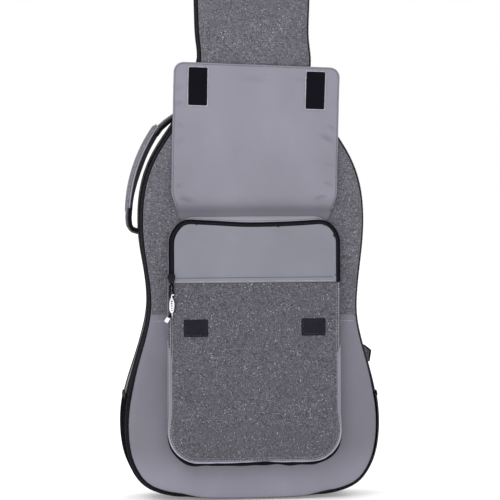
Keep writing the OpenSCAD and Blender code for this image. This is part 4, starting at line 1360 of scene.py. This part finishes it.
def fabric_wing(side, name):
    """The cloth triangle that carries a strap's webbing, bound along its outer edge."""
    bend = lambda p: 0.8 * ripple(p, 26, 101 + side)
    cloth = slab(polygon(WINGS[name], 3.0, 2.5), BACK - 0.4, BACK + 2.2, 4, 1.2, seed=100 + side, bulge=bend)
    piece(f"wing_cloth_{name}", cloth, HEATHER, "heather", "bag", (f"wing_{name}",))
    edge = resample(np.array(WINGS[name])[[6, 5, 4, 3] if side > 0 else [0, 1, 2]], 2.0)
    binding = sweep(with_depth(edge, BACK + 1.0), box_section(2.4, 3.6, 0.9))
    piece(f"wing_binding_{name}", binding, BLACK_BINDING, "piping", "bag")


WINGS = {
    "left": [(-122, 200), (-158, 208), (-165, 190), (-172, 165), (-170, 150), (-120, 150)],
    "right": [(120, 150), (181, 150), (178, 176), (185, 188), (187.5, 204), (177.5, 212), (122, 203)],
}
for side, name in SIDES:
    strap(side, name)
    strap_end(side, name)
    fabric_wing(side, name)


# ---------------------------------------------------------------- hanging loop

LOOP_R = 14.6
top, foot = node_points("hang_loop")[:, 2].max(), OUT.z.max() - 3
bow = [(LOOP_R * math.cos(a), top - 16 + LOOP_R * math.sin(a)) for a in np.linspace(0.15, math.pi - 0.15, 24)]
arc = resample([(LOOP_R, foot), (LOOP_R, top - 17), *bow, (-LOOP_R, top - 17), (-LOOP_R, foot)], 2.0)
path = with_depth(arc, 0.3 * np.sin(arc[:, 1] / 7))
away = with_depth(arc - np.array([0, top - 16.0]), 0)
away[path[:, 2] < top - 16, 2] = 0
away /= np.linalg.norm(away, axis=1)[:, None]
tape_loop = sweep(path, box_section(25, 2.6, 0.9), away)
piece("hang_loop_webbing", tape_loop, WEBBING, "webbing", "bag", ("hang_loop",))
thread = [stitches(path + away * 1.5 + np.array([0, y, 0]), away, 3.8) for y in (-9.5, 9.5)]
piece("hang_loop_stitches", joined(*thread), THREAD_DARK, "webbing", "bag")


# ---------------------------------------------------------------- inside the bag


def box_pad(node, name, seed, puff=1.0):
    """A filled block in a CAD node's box."""
    co = node_points(node)
    lo, hi = co.min(0), co.max(0)
    loop = rounded_box((hi[0] - lo[0]) / 2, lo[2], hi[2], 6, 6, 3.0, (lo[0] + hi[0]) / 2)
    block = slab(loop, lo[1] + puff, hi[1] - puff, 5.0, 5.5, puff, seed)
    ob = piece(name, block, LINING, "lining", "bag", (node,))
    return inflate(ob, 4.0, 2.5, lo - 0.4, hi + 0.4)


SOFT = [
    box_pad("neck_cradle", "neck_cradle_pad", 111),
    box_pad("head_pad", "head_pad_block", 112),
    box_pad("end_pin_pad", "end_pin_bumper", 113),
]
co = node_points("cradle_strap_right")
z0, z1, y0 = co[:, 2].min(), co[:, 2].max(), co[:, 1].min()


def cradle_half(x, y, seed):
    """Half of the cradle's strap, from the depth y."""
    return slab(rounded_box(22, z0, z1, 3, 3, 2.5, x), y, y + 1.6, 4.0, 0.8, 0, seed)


fold = cradle_half(18.0, y0 + 0.1, 114)
fold = piece("cradle_strap_fold", fold, WEBBING, "webbing", None, ("cradle_strap_right",))
base = cradle_half(-18.0, y0 + 2.4, 115)
piece("cradle_strap_base", base, LOOP, "hook_loop", "bag", ("cradle_strap_left",))
pin_fabric(fold, (41, 14, 730), (33, 14, 730))


# ---------------------------------------------------------------- hardware

for node in ("main_slider_upper", "main_slider_lower", "pocket_slider"):
    repaint(node, METAL, 0.5)
for node in ("main_pull_upper", "main_pull_lower"):
    repaint(node, METAL, 0.3)

PULL_PIN = np.array([-120.0, -5.9, 314.5])
GRIP_Z, GRIP_LONG = -30.5, 11.6


def on_pull(v):
    """From the pull's pin to the bag."""
    return leaned(np.asarray(v, float) + PULL_PIN)


def oval(width, y, thick, long, count=26):
    """A flat leaf that is widest in its middle."""
    z = np.linspace(GRIP_Z + long, GRIP_Z - long, count)
    u = (z - GRIP_Z) / long
    half = width * np.sqrt(np.clip(1 - u**2 * 0.97, 0.01, 1))
    path = np.column_stack([0.25 * np.sin(z / 9) + 0.03 * (z - GRIP_Z), np.full(count, y), z])
    section = box_section(2, thick, thick * 0.3)
    return sweep(on_pull(path), section, scale=np.column_stack([half, np.ones(count)]))


def pull_rod(points, radius):
    """A round bar or cord on the pull."""
    return sweep(on_pull(points), round_section(radius, 8))


def pull_part(name, mesh, material, replaces=()):
    """A piece of the pull's rubber."""
    piece(name, mesh, material, "pull_rubber", "pocket_pull", replaces)


loop_cord = resample([(-1.5, 0.4, -21), (-2.9, 0, -14), (-1.9, -1.2, -9), (-2.6, -0.4, -4), (-0.9, 0.4, -0.6),
                      (0, 1.2, 0.7), (0.9, 0.4, -0.6), (2.6, -0.4, -4), (1.9, 0.2, -9), (2.9, 0, -14),
                      (1.5, 0.4, -21)], 1.0)
tail_cord = resample([(-0.6, 0, -42), (-2.2, -0.3, -45), (-4.2, -0.5, -48), (-5.2, -0.4, -50)], 1.0)
cords = joined(pull_rod(loop_cord, 1.35), pull_rod(tail_cord, 2.0))
piece("pull_cord_loop", cords, CORD, "cord", "pocket_pull", ("pull_cord",))
pull_part("pull_grip_body", oval(5.2, 0.3, 3.0, GRIP_LONG + 1), RUBBER_DARK, ("pull_grip",))
grip_end = GRIP_Z - GRIP_LONG
spike = [(0.3, -1.5, grip_end + 1.5), (0.5, -1.6, grip_end - 1.5), (0.4, -1.5, grip_end - 3.6)]
plate = oval(3.6, -1.6, 1.2, GRIP_LONG - 0.6)
pull_part("pull_grip_plate", joined(plate, pull_rod(spike, 0.7)), RUBBER_PALE)
dots = []
for k, z in enumerate(np.linspace(GRIP_Z + 6.2, GRIP_Z - 6.8, 5)):
    x = 0.1 * (-1) ** k
    section = round_section(1.25 - 0.08 * k, 10, 0.85)
    dots.append(sweep(on_pull([(x, -1.8, z), (x, -2.8, z)]), section, (0, 0, 1)))
pull_part("pull_grip_dots", joined(*dots), RUBBER_DARK)
hook = [(0.2, -1.5, -20), (-0.2, -1.6, -17.6), (0.6, -1.8, -15.6), (2.2, -1.8, -14.8), (3.0, -1.6, -15.8)]
pull_part("pull_hook", pull_rod(curved_open(hook, 0.8), 0.85), RUBBER_PALE)
tip = resample([(-4.4, -0.5, -47.6), (-8.6, -0.3, -54.2)], 0.8)
w = np.interp(np.linspace(0, 1, len(tip)), (0, 0.08, 0.92, 1), (0.82, 1, 1, 0.8))
cap = sweep(on_pull(tip), box_section(5.4, 4.2, 1.2), scale=np.column_stack([w, w]))
pull_part("pull_tip_cap", cap, RUBBER_PALE, ("pull_tip",))
